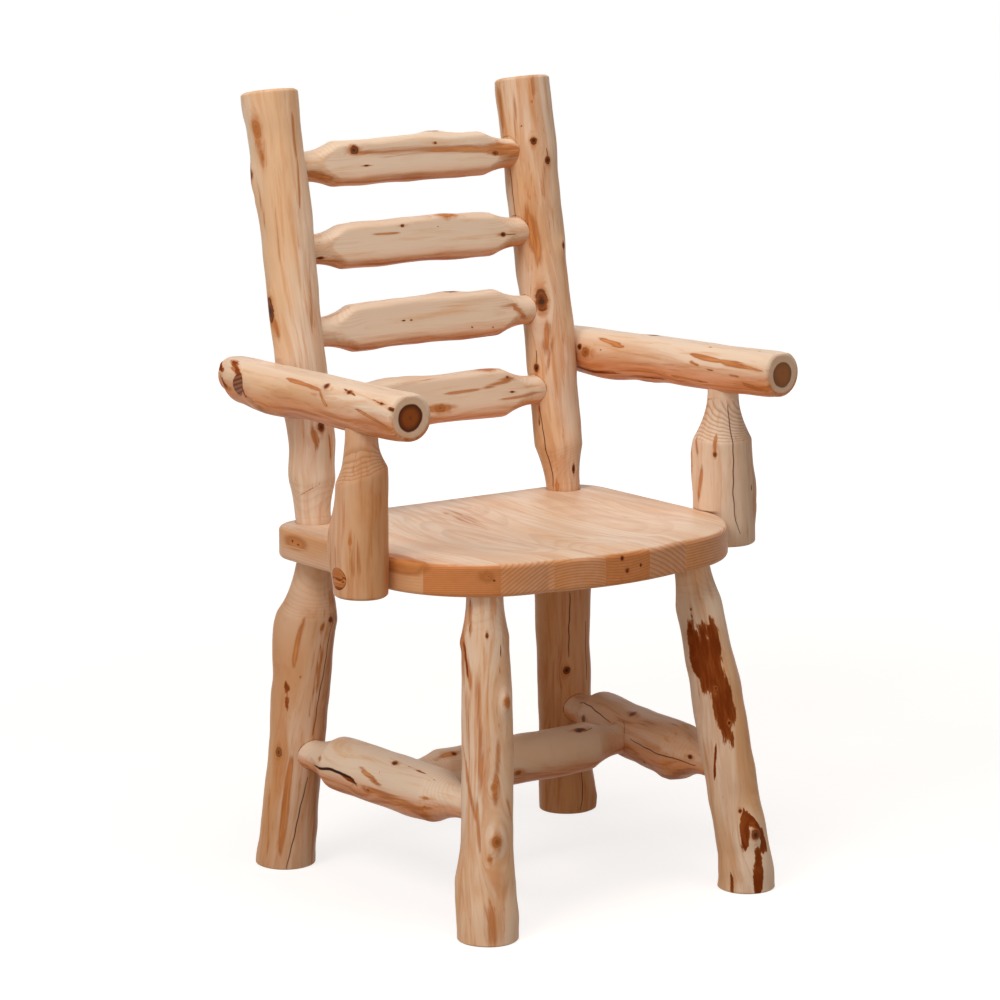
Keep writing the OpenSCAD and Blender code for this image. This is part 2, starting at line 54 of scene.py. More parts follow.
# The chair's own sizes in millimetres, as in the part's source.
SEAT_TOP, SEAT_UNDER = 460.0, 419.0
SEAT_HALF, SEAT_BACK, SEAT_FRONT = 257.5, 184.0, -242.0
BACK_CORNER, FRONT_CORNER, FRONT_BOW = 50.0, 150.0, 16.0
DISH_R, DISH_DEPTH, DISH_X, DISH_Y = 1080.0, 11.0, 60.0, -37.0
LEAN = np.radians(9.8)
POST_X, POST_Y, POST_L = 202.0, 152.0, 557.0
SLATS, SLAT_FIRST, SLAT_STEP, SLAT_SET, SLAT_HALF = range(1, 5), 139, 107, -.5, 160
SLAT_FLAT, ARM_FLAT = 20.0, 27.0
STRETCHER_H, CROSS_Y = 155.0, -12.0
SIDE_START, CROSS_START = 42, 40
ARM_IN_X, ARM_NOTCH = 232.1, 28
ARM_REAR, ARM_FRONT = (257.0, 263.4, 642.0), (290.9, -195.2, 651.0)
UPRIGHT_X, UPRIGHT_Y, UPRIGHT_H = 285.5, -83.0, 236.0
ARM_SCREW_X, ARM_SCREW_Y, ARM_SCREW_Z, FOOT_SCREW_Z = 264.0, 183.4, 643.6, 439.5
PLUG_R = 14.0
# How far legs start under the floor, and uprights start under the seat and end under the arms.
LEG_SUNK, FOOT_BELOW, ARM_ABOVE = 12, 5, 39.0

# Tenons: radius of each kind's neck, and how much of a neck shows outside its mortise.
POST_NECK, RUNG_NECK, ARM_NECK = 23.1, 19.6, 20.6
NECK_REVEAL = 7.0
# The cutter leaves a bell: its radius grows by this much over its length, with this power of the distance.
BELL_POWER, BELL_RISE = 1.8, 20.0
# Corners of sawn ends are rounded over this many millimetres.
SAWN_EDGE = 4
# The right arm's upright has a slanting shoulder: the way it looks, and how far it rises and falls.
SLANT_TOWARD, SLANT = np.radians(144), 10.0

# A peeled log's slow waves: turns round it, length along it, depth; and the share of them that is used.
WAVES = ((1, 210, .8), (2, 150, .6), (3, 95, .45), (1, 70, .4), (4, 60, .25), (2, 42, .2))
WAVE_SHARE = .55
# Round a knot the wood rises and the grain bends, over this many knot radii round the log and along it.
RISE_WIDE, RISE_LONG, FLOW_WIDE, FLOW_LONG = 2.1, 2.6, 1.5, 2.2
# The photo's side of the chair, and how many tries are made to put knots and streaks on the other.
VIEWED_FROM, UNSEEN_TRIES = (-.59, -.81, 0), 24
# Distances from either end of a log for its closer rings, and the shares that shrink an end's rings.
END_STEPS = np.array([0, .6, 1.4, 2.4, 3.6])
SHRINK = np.linspace(1, 0, 11)[1:-1][:, None]
# A board's points: distance across, and how many along its top, along its underside and up its edges.
BOARD_STEP, TOP_STEPS, UNDER_STEPS, EDGE_STEPS = 1.6, 220, 40, 12
# Sizes of the rings on a board's joint faces, as shares of its outline.
JOINT_RINGS = (.08, .3, .55, .8)
# A plug: points round it, rings on its face, how far it stands out, how far its wall and its back lie behind
# its face, and how many times its face is brought closer to the log.
PLUG_SIDES, PLUG_RINGS, PLUG_OUT, PLUG_WALL, PLUG_TRIES = 48, 10, .25, (.5, 9), 12
# Meshes with flat sides have sharp edges from this angle on.
SHARP = 50

# What the wood shader takes for no knot, no check and no joint near by.
NO_KNOT, NO_CHECK, NO_JOINT = (3.5, 0.0, 0.0), (9, -6), 20.0
# In the knot tables' last column: a swelling or a dip without a knot.
BUMP = -.01

# Each kind of log: mean radius, neck, length of the bell, length of the tenon past the log's own end; then
# how far its rings show on plain wood and on its bells, how much paler its planed face is painted (a painted
# highlight on the flat), and how far down its painted orange shade on the underside begins.
USUAL = {"neck": 0.0, "bell": 60.0, "tenon": 0.0, "plain": .2, "bell_rings": .25, "planed": 0.0, "low": 0.0}
KINDS = {
    "front_leg": {"r": 35.0, "neck": POST_NECK, "bell": 84.0, "tenon": NECK_REVEAL + 28.0,
                  "bell_rings": .18},
    "rear_leg": {"r": 35.0, "neck": POST_NECK, "bell": 84.0, "tenon": NECK_REVEAL + 15.0},
    "back_post": {"r": 35.0, "neck": POST_NECK, "bell": 80.0, "tenon": NECK_REVEAL + 15.0},
    "back_slat": {"r": 32.5, "neck": RUNG_NECK, "tenon": 31.0, "plain": .08, "planed": .9, "low": .25},
    "side_stretcher": {"r": 33.0, "neck": RUNG_NECK, "bell": 62.0, "tenon": 31.0, "bell_rings": .22,
                       "low": -.3},
    "cross_stretcher": {"r": 30.5, "neck": RUNG_NECK, "bell": 62.0, "tenon": 31.0},
    "arm_upright": {"r": 36.0, "neck": ARM_NECK, "tenon": 46.0, "bell_rings": 1.0},
    "arm": {"r": 32.0, "plain": .3, "low": -.3},
}

# Form tables: share of the length, share of the mean radius, wander in the log's two cross directions.
FORMS = {
    "front_leg_left": [(0, 1.09, 0, 0), (.08, 1.02, -5, 0), (.15, .94, -7, 0), (.32, .92, -6, 0),
        (.62, .95, -5, 0), (.8, .87, -2, 0), (1, .84, 0, 0)],
    "front_leg_right": [(0, 1.09, 0, 0), (.08, 1.09, 0, 0), (.17, 1.03, 1, 1), (.32, .92, 0, 0),
        (.55, .9, 0, 0), (.7, .89, 0, 0), (.86, .85, 0, 0), (1, .84, 0, 0)],
    "rear_leg_left": [(0, 1.08, 0, 0), (.1, 1.1, 0, 2), (.2, 1.04, 0, 0), (.5, 1.03, 0, 0), (.8, 1.08, 0, 0),
        (1, 1.06, 0, 0)],
    "rear_leg_right": [(0, 1.12, 0, 0), (.14, 1.07, 0, 0), (.36, 1.02, 0, 0), (.6, 1.08, -3, 0),
        (.77, 1.14, -6, 0), (.88, 1.1, 0, 0), (1, 1.02, 0, 0)],
    "back_post_left": [(0, .93, 0, 0), (.16, .93, 0, 0), (.35, .94, 0, -1), (.58, 1, 1, 0),
        (.72, 1.04, -1, 0), (.86, 1.05, 0, 0), (1, 1.075, 0, 0)],
    "back_post_right": [(0, .87, 0, 0), (.1, .87, 4, -2), (.18, .87, 8, -4), (.33, .87, 5, -3),
        (.55, .94, 3, -2), (.74, .97, 3, -2), (.89, .96, 2, -1), (1, 1.05, 0, 0)],
    "back_slat_1": [(0, .95, 0, 0), (.3, 1.01, 0, 0), (.7, 1, -1, 0), (1, .97, 1, 0)],
    "back_slat_2": [(0, .92, 3, 0), (.25, .97, 1, 0), (.55, .97, -1, 0), (1, .98, 0, 0)],
    "back_slat_3": [(0, .91, 3, 0), (.3, .92, 2, 0), (.55, .94, 0, 0), (.8, .92, 2, 0), (1, .88, 2, 0)],
    "back_slat_4": [(0, .91, 3, 0), (.3, .92, 2, 0), (.55, .95, 0, 0), (.8, .92, 1, 0), (1, .89, 3, 0)],
    "arm_left": [(0, .6, 0, 0), (.04, .88, 1, 0), (.1, 1, 1, 0), (.28, 1.05, 3, 0), (.5, .99, 0, 0),
        (.7, 1, 1, 0), (.95, .99, 0, 0), (1, .94, 0, 0)],
    "arm_right": [(0, .5, -9, 0), (.04, .8, -5, 0), (.1, .98, 0, 0), (.28, 1.05, 3, 0), (.5, .99, 0, 0),
        (.7, 1, 1, 0), (.95, .99, 0, 0), (1, .94, 0, 0)],
    "arm_upright_left": [(0, 1.14, 4, 0), (.4, 1.13, 3, 0), (.75, 1.08, 0, 0), (1, 1.02, 0, 0)],
    "arm_upright_right": [(0, .95, -2.2, 0), (.35, .95, -2.2, 0), (.7, .92, 0, 0), (1, .9, 0, 0)],
    "side_stretcher_left": [(0, 1, 0, 0), (.25, 1.06, 0, 0), (.5, 1.1, 3, 0), (.75, 1.13, 4, 0),
        (1, 1.05, 2, 0)],
    "side_stretcher_right": [(0, 1, 0, 0), (.25, 1.08, 0, 0), (.6, 1.04, 2, 0), (1, 1, 0, 0)],
    "cross_stretcher": [(0, .96, 5, 0), (.35, 1.03, 7, 0), (.7, 1.06, 8, 0), (1, 1.02, 5, 0)],
}

# Knots: distance along the log, angle round it in degrees, radius, stretch along the log, how far the wood
# round it is raised, and how dark it is. Below 0 it is a place without a knot, painted paler by that much:
# partly a painted highlight, partly pale wood round a knot.
KNOTS = {
    "front_leg_left": [(80, 152, 13, 1.6, 0, -1.0), (120, -160, 14, 3, 1.8, BUMP),
        (330, 60, 14, 3, -1.2, BUMP), (82, 152, 5.6, 1.3, 6.5, .7), (380, 100, 1.9, 1.2, 0, .7),
        (229, 140, 2.6, 1.2, .8, .9), (115, 131, 2.6, 1, 0, .8), (276, 124, 1.9, 1.3, 0, .9)],
    "front_leg_right": [(152, -162, 15, 2.4, 0, -1.0), (306, -136, 12, 2.0, 0, -1.0),
        (255, -105, 14, 3.2, 2.6, BUMP), (250, 75, 14, 3, -1.2, BUMP), (303, -136, 5.0, 1.4, 6.0, .3),
        (133, -162, 6.7, 1.15, 4.5, .4), (112, -176, 3.1, 1.2, .3, .25), (199, -165, 4.3, 1.2, .3, .2),
        (385, -178, 2.4, 1.6, 1.5, .9), (74, 90, 8.0, 1.7, 4.6, BUMP), (379, 101, 3.7, 1.4, 3, .5)],
    "rear_leg_left": [(260, -65, 14, 3, 1.8, BUMP), (229, 12, 4.9, 1.15, 1, .95), (23, 93, 5.6, 1.3, 4, .5)],
    "rear_leg_right": [(375, -100, 24, 2.4, 0, -.8), (300, 10, 14, 3, 1.8, BUMP),
        (171, -102, 5.0, 1.35, 1, .55), (277, -65, 1.4, 1, 0, .5), (353, -12, 3.6, 1.2, .6, .75),
        (344, -30, 2.3, 2.6, .3, .4)],
    "cross_stretcher": [(262, -125, 22, 2.2, 0, -.8), (259, -155, 4.1, 2.0, .6, 1.1),
        (147, -74, 3.1, 1.5, 0, .5), (55, -149, 3.0, 1.1, 1, 1.2)],
    "side_stretcher_left": [(66, -96, 4.6, 1.2, 1.5, .85), (161, -153, 4.5, 1.7, .6, .75),
        (307, -105, 4.4, 1.1, .6, .8), (-6, -86, 2.2, 1.4, 0, .8), (-11, -118, 1.4, 1, 0, .8),
        (214, -57, 2.1, 1.2, .5, .8), (286, -38, 2.1, 1.3, .5, .8), (241, -21, 5.3, 1.5, 5, .4)],
    "side_stretcher_right": [(139, -72, 6.5, 1.3, 2.6, -.5), (170, 175, 14, 3, 1.8, BUMP),
        (250, -35, 12, 1.5, 2.5, BUMP), (51, -109, 3.3, 1.2, .8, .2), (188, -153, 3.0, 1.6, .3, .9),
        (266, -96, 2.2, 1.7, 0, .2), (264, -73, 2.1, 1, 0, .35), (89, -154, 11.5, 1.3, 2.4, -.3),
        (172, -124, 1.0, 1, 0, .8), (156, -78, 1.9, 1.2, 0, .6)],
    "back_post_right": [(186, 180, 14, 2, 6, BUMP), (508, 150, 14, 1, 2.8, BUMP),
        (418, 148, 10, 1, 4.0, BUMP), (350, -35, 14, 5, 1.4, BUMP), (500, -162, 6.6, 1.9, 1.4, .2),
        (445, 153, 7.0, 1.2, 3.6, 1.2), (270, 176, 7.2, 2.1, 2.0, .9), (115, -98, 5.9, 1.15, 2, 1.0),
        (464, -158, 2.3, 2.4, 0, .3)],
    "back_post_left": [(186, 0, 14, 2, 4, BUMP), (462, -116, 4.4, 1.2, .8, 1.1),
        (435, -88, 3.9, 1.3, .8, .95), (514, -112, 1.3, 1.6, 0, .9), (483, -138, 1.2, 1, 0, .9),
        (249, -134, 8.5, 1.7, 2.4, .7), (159, -165, 4.4, 1.6, 1, .85), (19, -85, 3.2, 1.6, .4, 1.0),
        (530, -38, 1.4, 4, 0, .8), (320, -65, 2.7, 1.8, 2.5, .9)],
    "back_slat_4": [(65, -127, 6.0, 1.1, 1.5, .75), (83, -73, 1.8, 2.6, 0, 1.0),
        (195, -128, 1.7, 1.6, 0, .8), (289, -87, 4.8, 1.2, 1.2, .6), (204, -178, 5.3, 1.8, 3, 1.1)],
    "back_slat_3": [(129, -133, 1.8, 2.2, .2, 1.1), (289, -82, 4.3, 1.15, .5, .9),
        (-4, -114, 1.7, 1.2, 0, 1.0), (0, -50, 3.6, 1.3, .4, .85), (185, -122, 1.1, 1, 0, .9),
        (202, -152, 6.6, 2, 2.2, .15)],
    "back_slat_2": [(116, -94, 1.7, 1.6, 0, 1.0), (128, -92, 1.7, 1.5, 0, 1.0), (224, -49, 1.3, 1, 0, 1.0),
        (258, -46, 1.3, 1, 0, 1.0), (204, -174, 5.3, 2, 2.5, 1.0)],
    "back_slat_1": [(110, 180, 10, 1.5, 3, BUMP), (160, -61, 6.6, 1.5, .8, .35),
        (273, -134, 1.6, 1.4, 0, 1.1), (278, -89, 2.1, 1.6, 0, 1.0), (96, -145, 1.0, 1, 0, .9),
        (246, -162, 6.7, 1.8, 2.5, .2)],
    "arm_right": [(-7, -122, 5.5, 1.3, 2.2, 1.0), (303, -133, 3.7, 1.5, 3.4, .85),
        (356, -132, 2.8, 2.1, 1, .85), (458, -116, 2.6, 1.2, .5, 1.0), (438, -122, 1.6, 3, 0, .9),
        (137, -52, 6.3, 1.4, 2.4, .3)],
    "arm_left": [(118, -96, 6.7, 1.2, 1.4, .45), (103, -106, 3.5, 1.1, 0, 1.05),
        (343, -150, 1.3, 2.2, 0, .9), (422, -171, 1.2, 2, 0, .9), (147, -105, 1.2, 1.5, 0, .9),
        (204, 154, 5.4, 1.6, 3, .9), (216, -11, 6.7, 1.6, 3, .5)],
    "arm_upright_right": [(75, -147, 2.7, 2.2, 0, .15), (59, 136, 8.6, 1.8, 8.5, -.4)],
    "arm_upright_left": [(124, -145, 2.6, 1.3, .5, .75), (107, 140, 6.6, 2.2, 3, .2),
        (57, -40, 5.3, 2.5, 2.5, .2)],
}
# Patches: where each starts and ends along the log, with the angle there, half its width, how much of it is
# bark and how much is orange wood.
PATCHES = {
    "front_leg_left": [(355, 91, 290, 98, 13.0, 1, 0), (358, 145, 316, 141, 9.0, 1, 0),
        (340, 120, 262, 137, 13.5, 1, 0), (286, 138, 220, 134, 13.0, 1, 0),
        (204, 101, 161, 83, 2.4, .85, .6), (114, 140, 66, 126, 5.5, .95, .3),
        (110, 144, 66, 180, 6.0, .95, .3), (84, 178, 60, 168, 4.2, .95, .3), (56, 154, 7, 147, 7.2, .95, .3),
        (36, 89, 9, 93, 3.6, .85, .4), (211, 66, 171, 64, 6.4, 0, .55), (341, 91, 263, 81, 3.8, 0, .5)],
    "front_leg_right": [(430, 104, 320, 108, 11.0, 0, .58), (330, 130, 190, 140, 9.0, 0, .46),
        (332, 160, 205, 168, 9.5, 0, .72), (245, 116, 155, 155, 3.7, 0, .8),
        (254, -154, 184, -162, 4.9, 0, .75), (186, -132, 153, -111, 4.3, 0, .7),
        (57, -180, 7, -175, 9.8, 0, .7), (432, 125, 387, 138, 4.4, .5, .8),
        (382, 115, 326, 138, 5.5, .55, .9), (379, -141, 333, -149, 1.3, .75, .4),
        (57, 172, 14, 174, 3.7, 0, .6), (184, 153, 124, 163, 3.7, 0, .7)],
    "rear_leg_left": [(274, -1, 200, 1, 8.2, 0, .6)],
    "rear_leg_right": [(385, 4, 15, -6, 12.0, 0, .55), (352, -70, 293, -78, 3.4, 0, .95),
        (330, -27, 225, -41, 1.7, .5, .7), (161, -72, 43, -78, 4.4, 0, .95),
        (245, -22, 192, -35, 3.9, 0, .4), (272, -95, 227, -87, 8.4, .56, 0),
        (313, -23, 259, -30, 2.6, 0, .8), (116, -118, 36, -105, 5.2, 0, .5), (35, 27, 20, 20, 5.3, .7, .5)],
    "cross_stretcher": [(36, -153, 59, -152, 7.7, 0, .85), (130, -154, 295, -156, 7.8, 0, .35)],
    "side_stretcher_left": [(177, -69, 247, -21, 13.3, .35, 1), (254, -33, 318, -26, 7.9, .2, .8),
        (79, -135, 110, -131, 5.4, .3, 0), (106, -105, 280, -175, 13.4, 0, .5)],
    "side_stretcher_right": [(104, -92, 132, -85, 3.4, .9, .3), (137, -118, 177, -97, 3.2, .45, 1),
        (167, -163, 269, -147, 2.2, .62, .5), (154, -79, 263, -71, 5.1, .1, .9),
        (67, -175, 77, -182, 3.9, 0, .7), (242, -60, 264, -44, 3.8, .4, .9)],
    "back_post_right": [(514, -76, 457, -80, 2.8, 0, .9), (457, -78, 397, -86, 2.2, .4, .9),
        (494, -162, 450, -160, 8.5, 0, .72), (259, -174, 233, -170, 4.5, .45, .9),
        (112, -118, 94, -112, 4.4, .2, 1), (105, -76, 70, -68, 2.8, 0, .9),
        (41, -107, 28, -170, 2.6, 0, .85), (403, -142, 330, -145, 3.8, 0, .6),
        (354, -71, 239, -85, 3.9, 0, .5), (437, 177, 360, 187, 3.9, 0, .5)],
    "back_post_left": [(368, -145, 312, -132, 8.1, 0, .95), (538, 172, 481, 169, 5.4, 0, .8),
        (219, -127, 182, -136, 5.4, 0, .9), (111, -166, 79, -174, 2.2, .6, .8),
        (3, -146, -11, -150, 4.6, 0, 1), (521, -108, 551, -103, 5.4, 0, .6),
        (525, -145, 452, -153, 4.0, 0, .6), (429, -99, 382, -102, 3.4, 0, .7),
        (195, -119, 153, -138, 4.0, 0, .6), (313, -67, 246, -68, 3.4, 0, .5)],
    "back_slat_4": [(71, -120, 273, -103, 8.5, .1, .76), (292, -99, 330, -87, 20.1, .12, .98),
        (-10, -62, 21, -44, 9.0, .35, .9), (28, -34, 308, -3, 3.9, 0, .75)],
    "back_slat_3": [(80, -120, 123, -117, 2.0, .3, .9), (-7, -31, 35, -40, 6.5, 0, .8),
        (38, -29, 291, -13, 3.9, 0, .7), (302, -8, 335, -15, 5.4, 0, .6)],
    "back_slat_2": [(275, -21, 306, -8, 5.3, .6, .9), (293, -111, 316, -54, 12.0, .1, .8),
        (5, -24, 278, -10, 3.9, 0, .8), (0, -154, 26, -161, 7.8, .15, .6),
        (212, -12, 298, -11, 2.4, .7, .5)],
    "back_slat_1": [(140, -62, 179, -58, 7.9, 0, .85), (233, -112, 280, -130, 4.2, .1, .95),
        (171, -107, 227, -109, 3.3, .1, .9), (100, -144, 166, -149, 2.6, 0, .6),
        (257, -63, 325, -78, 4.0, 0, .7)],
    "arm_right": [(-15, -145, 25, -108, 6.5, .95, .3), (43, -145, 82, -118, 5.9, .62, 1),
        (31, -90, 54, -76, 5.8, .66, 1), (106, -72, 154, -38, 5.1, .4, 1),
        (202, -131, 292, -121, 3.0, .1, 1), (288, -122, 311, -93, 3.0, .2, 1),
        (387, -99, 455, -72, 2.2, 0, 1), (347, -40, 410, -12, 3.2, .5, 1),
        (135, -96, 187, -71, 1.3, .55, .3), (82, -118, 103, -73, 5.9, .75, .8),
        (413, -126, 453, -121, 1.7, .7, .3), (336, -139, 375, -127, 2.4, .6, .3)],
    "arm_left": [(318, -123, 376, -113, 3.4, .25, 1), (374, -114, 452, -103, 4.0, .25, 1),
        (415, -69, 453, -45, 3.4, .2, 1), (281, -60, 348, -57, 2.1, .5, 1),
        (351, -92, 370, -88, 2.0, .6, .5), (136, -134, 185, -119, 3.2, .3, 1),
        (85, -50, 178, -48, 3.6, .60, 1), (190, -36, 263, -42, 3.0, .58, 1),
        (320, -103, 340, -96, 2.6, 0, .8), (392, -85, 414, -81, 2.6, 0, .7)],
    "arm_upright_right": [(88, -148, 29, -144, 5.1, 0, .62), (67, 174, 37, 173, 2.0, .5, .7),
        (70, -129, 33, -125, 3.2, 0, .5), (162, -123, 101, -118, 3.6, 0, .4),
        (125, -110, 51, -103, 3.2, 0, .4)],
    "arm_upright_left": [(180, -50, 5, -50, 12.0, 0, .5), (148, -144, 127, -144, 2.3, .1, 1),
        (142, 165, 121, 173, 2.9, 0, .9), (104, -174, 61, -183, 3.4, 0, .8),
        (143, -96, 139, -72, 3.9, .62, 0), (83, -69, 70, -63, 2.0, .6, .3), (190, 140, 195, 203, 5.2, 0, .7),
        (62, -92, 8, -79, 5.2, 0, .4)],
}
# Drying checks: the points each runs through, along the log and round it, and half its width.
CHECKS = {
    "rear_leg_left": [([(342, 21), (247, 16)], 1.1), ([(296, 61), (208, 63)], 1.0),
        ([(79, 45), (20, 36)], 1.1)],
    "rear_leg_right": [([(362, -3), (277, -18), (198, -31)], 1.0),
        ([(142, -34), (80, -48), (16, -61)], 1.2)],
    "side_stretcher_left": [([(28, -132), (74, -128), (106, -119), (133, -113)], 1.1),
        ([(186, -99), (278, -90), (313, -75), (332, -86)], 1.2)],
    "side_stretcher_right": [([(29, -84), (83, -95), (120, -93), (137, -79)], 5.0)],
    "back_post_left": [([(108, -168), (70, -161), (43, -163), (15, -157), (-13, -165)], 1.1),
        ([(430, -176), (400, -175), (362, -176)], .9), ([(183, -160), (166, -164)], .8),
        ([(452, -87), (439, -88)], .7)],
    "arm_upright_left": [([(188, -113), (161, -110), (114, -110), (69, -112), (36, -108), (18, -98)], 1.1)],
    "arm_left": [([(100, -115), (95, -47)], .8)],
    "arm_right": [([(111, 164), (131, 154)], .6)],
    "back_slat_3": [([(294, -81), (311, -79)], .5)],
    "cross_stretcher": [([(264, -147), (279, -153)], .7)],
}


# ---------------------------------------------------------------- small sums

def soft_min(a, b, k):
    """The lower of two numbers, with the corner between them rounded over a width k."""
    return 0.5 * (a + b - np.sqrt((a - b) ** 2 + k * k))


def ramp(lo, hi, x):
    """Rises from 0 at lo to 1 at hi, level at both ends."""
    t = np.clip((x - lo) / (hi - lo), 0, 1)
    return t * t * (3 - 2 * t)


def turn_from(start, angle):
    """The turn from one angle to another, the short way round."""
    return (angle - start + np.pi) % TAU - np.pi


def off_line(points, p, q):
    """How far points lie from the line through p and q, and how far along it from p."""
    along = (q - p) / np.linalg.norm(q - p)
    t = (points - p) @ along
    return np.linalg.norm(points - p - t[..., None] * along, axis=-1), t


def form_curve(rows, t, col):
    """The form table's value at share t of the length: between two rows it eases from one to the next."""
    rows = np.array(rows, float)
    i = np.clip(np.searchsorted(rows[:, 0], t, side="right") - 1, 0, len(rows) - 2)
    u = ramp(0, 1, (t - rows[i, 0]) / (rows[i + 1, 0] - rows[i, 0]))
    return rows[i, col] * (1 - u) + rows[i + 1, col] * u


def axes_along(v):
    """Three unit directions as rows: the last along v, the second level, the first square to both."""
    z = v / np.linalg.norm(v)
    y = np.array([-z[1], z[0], 0]) / np.hypot(z[0], z[1])
    return np.array([np.cross(y, z), y, z])


def back_point(x, y, z):
    """A point given in the leaning frame of the back, whose z runs up the posts from the seat's top."""
    c, s = np.cos(LEAN), np.sin(LEAN)
    return np.array([x, POST_Y + y * c + z * s, SEAT_TOP - y * s + z * c])


def put_mesh(name, verts, quads, tris, attributes, material, sharp=None):
    """Puts points in millimetres, faces with four and three sides and point attributes into a new object."""
    mesh = bpy.data.meshes.new(name)
    mesh.vertices.add(len(verts))
    mesh.vertices.foreach_set("co", (verts * MM).astype(np.float32).ravel())
    corners = np.concatenate([quads.ravel(), tris.ravel()]).astype(np.int32)
    mesh.loops.add(len(corners))
    mesh.loops.foreach_set("vertex_index", corners)
    starts = np.concatenate([4 * np.arange(len(quads)), 4 * len(quads) + 3 * np.arange(len(tris))])
    mesh.polygons.add(len(starts))
    mesh.polygons.foreach_set("loop_start", starts.astype(np.int32))
    mesh.polygons.foreach_set("use_smooth", np.ones(len(starts), bool))
    mesh.update(calc_edges=True)
    for key, values in attributes.items():
        layer = mesh.attributes.new(key, "FLOAT_VECTOR", "POINT")
        layer.data.foreach_set("vector", values.astype(np.float32).ravel())
    mesh.materials.append(material)
    if sharp is not None:
        mesh.set_sharp_from_angle(angle=np.radians(sharp))
    piece = bpy.data.objects.new(name, mesh)
    bpy.context.scene.collection.objects.link(piece)
    return piece


def tube_faces(rings, sides):
    """Faces with four sides between rings of points, and with three sides to the middle of either end."""
    i = np.arange(rings - 1)[:, None] * sides
    k = np.arange(sides)[None, :]
    n = (k + 1) % sides
    quads = np.stack([i + k, i + n, i + sides + n, i + sides + k], -1).reshape(-1, 4)
    low, high, last = rings * sides, rings * sides + 1, (rings - 1) * sides
    k, n = k[0], n[0]
    tris = np.concatenate([np.stack([np.full(sides, low), n, k], -1),
                           np.stack([np.full(sides, high), last + k, last + n], -1)])
    return quads, tris


def with_tips(rings):
    """Rings of points as one list, then the middles of the first and the last ring."""
    return np.concatenate([rings.reshape(-1, 3), [rings[0].mean(0), rings[-1].mean(0)]])


def finish_piece(piece, slot_name, *nodes):
    """Lets a piece ride on the chair's one body and stand for its CAD nodes."""
    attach(piece, "root")
    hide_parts(*nodes)


# ---------------------------------------------------------------- a log

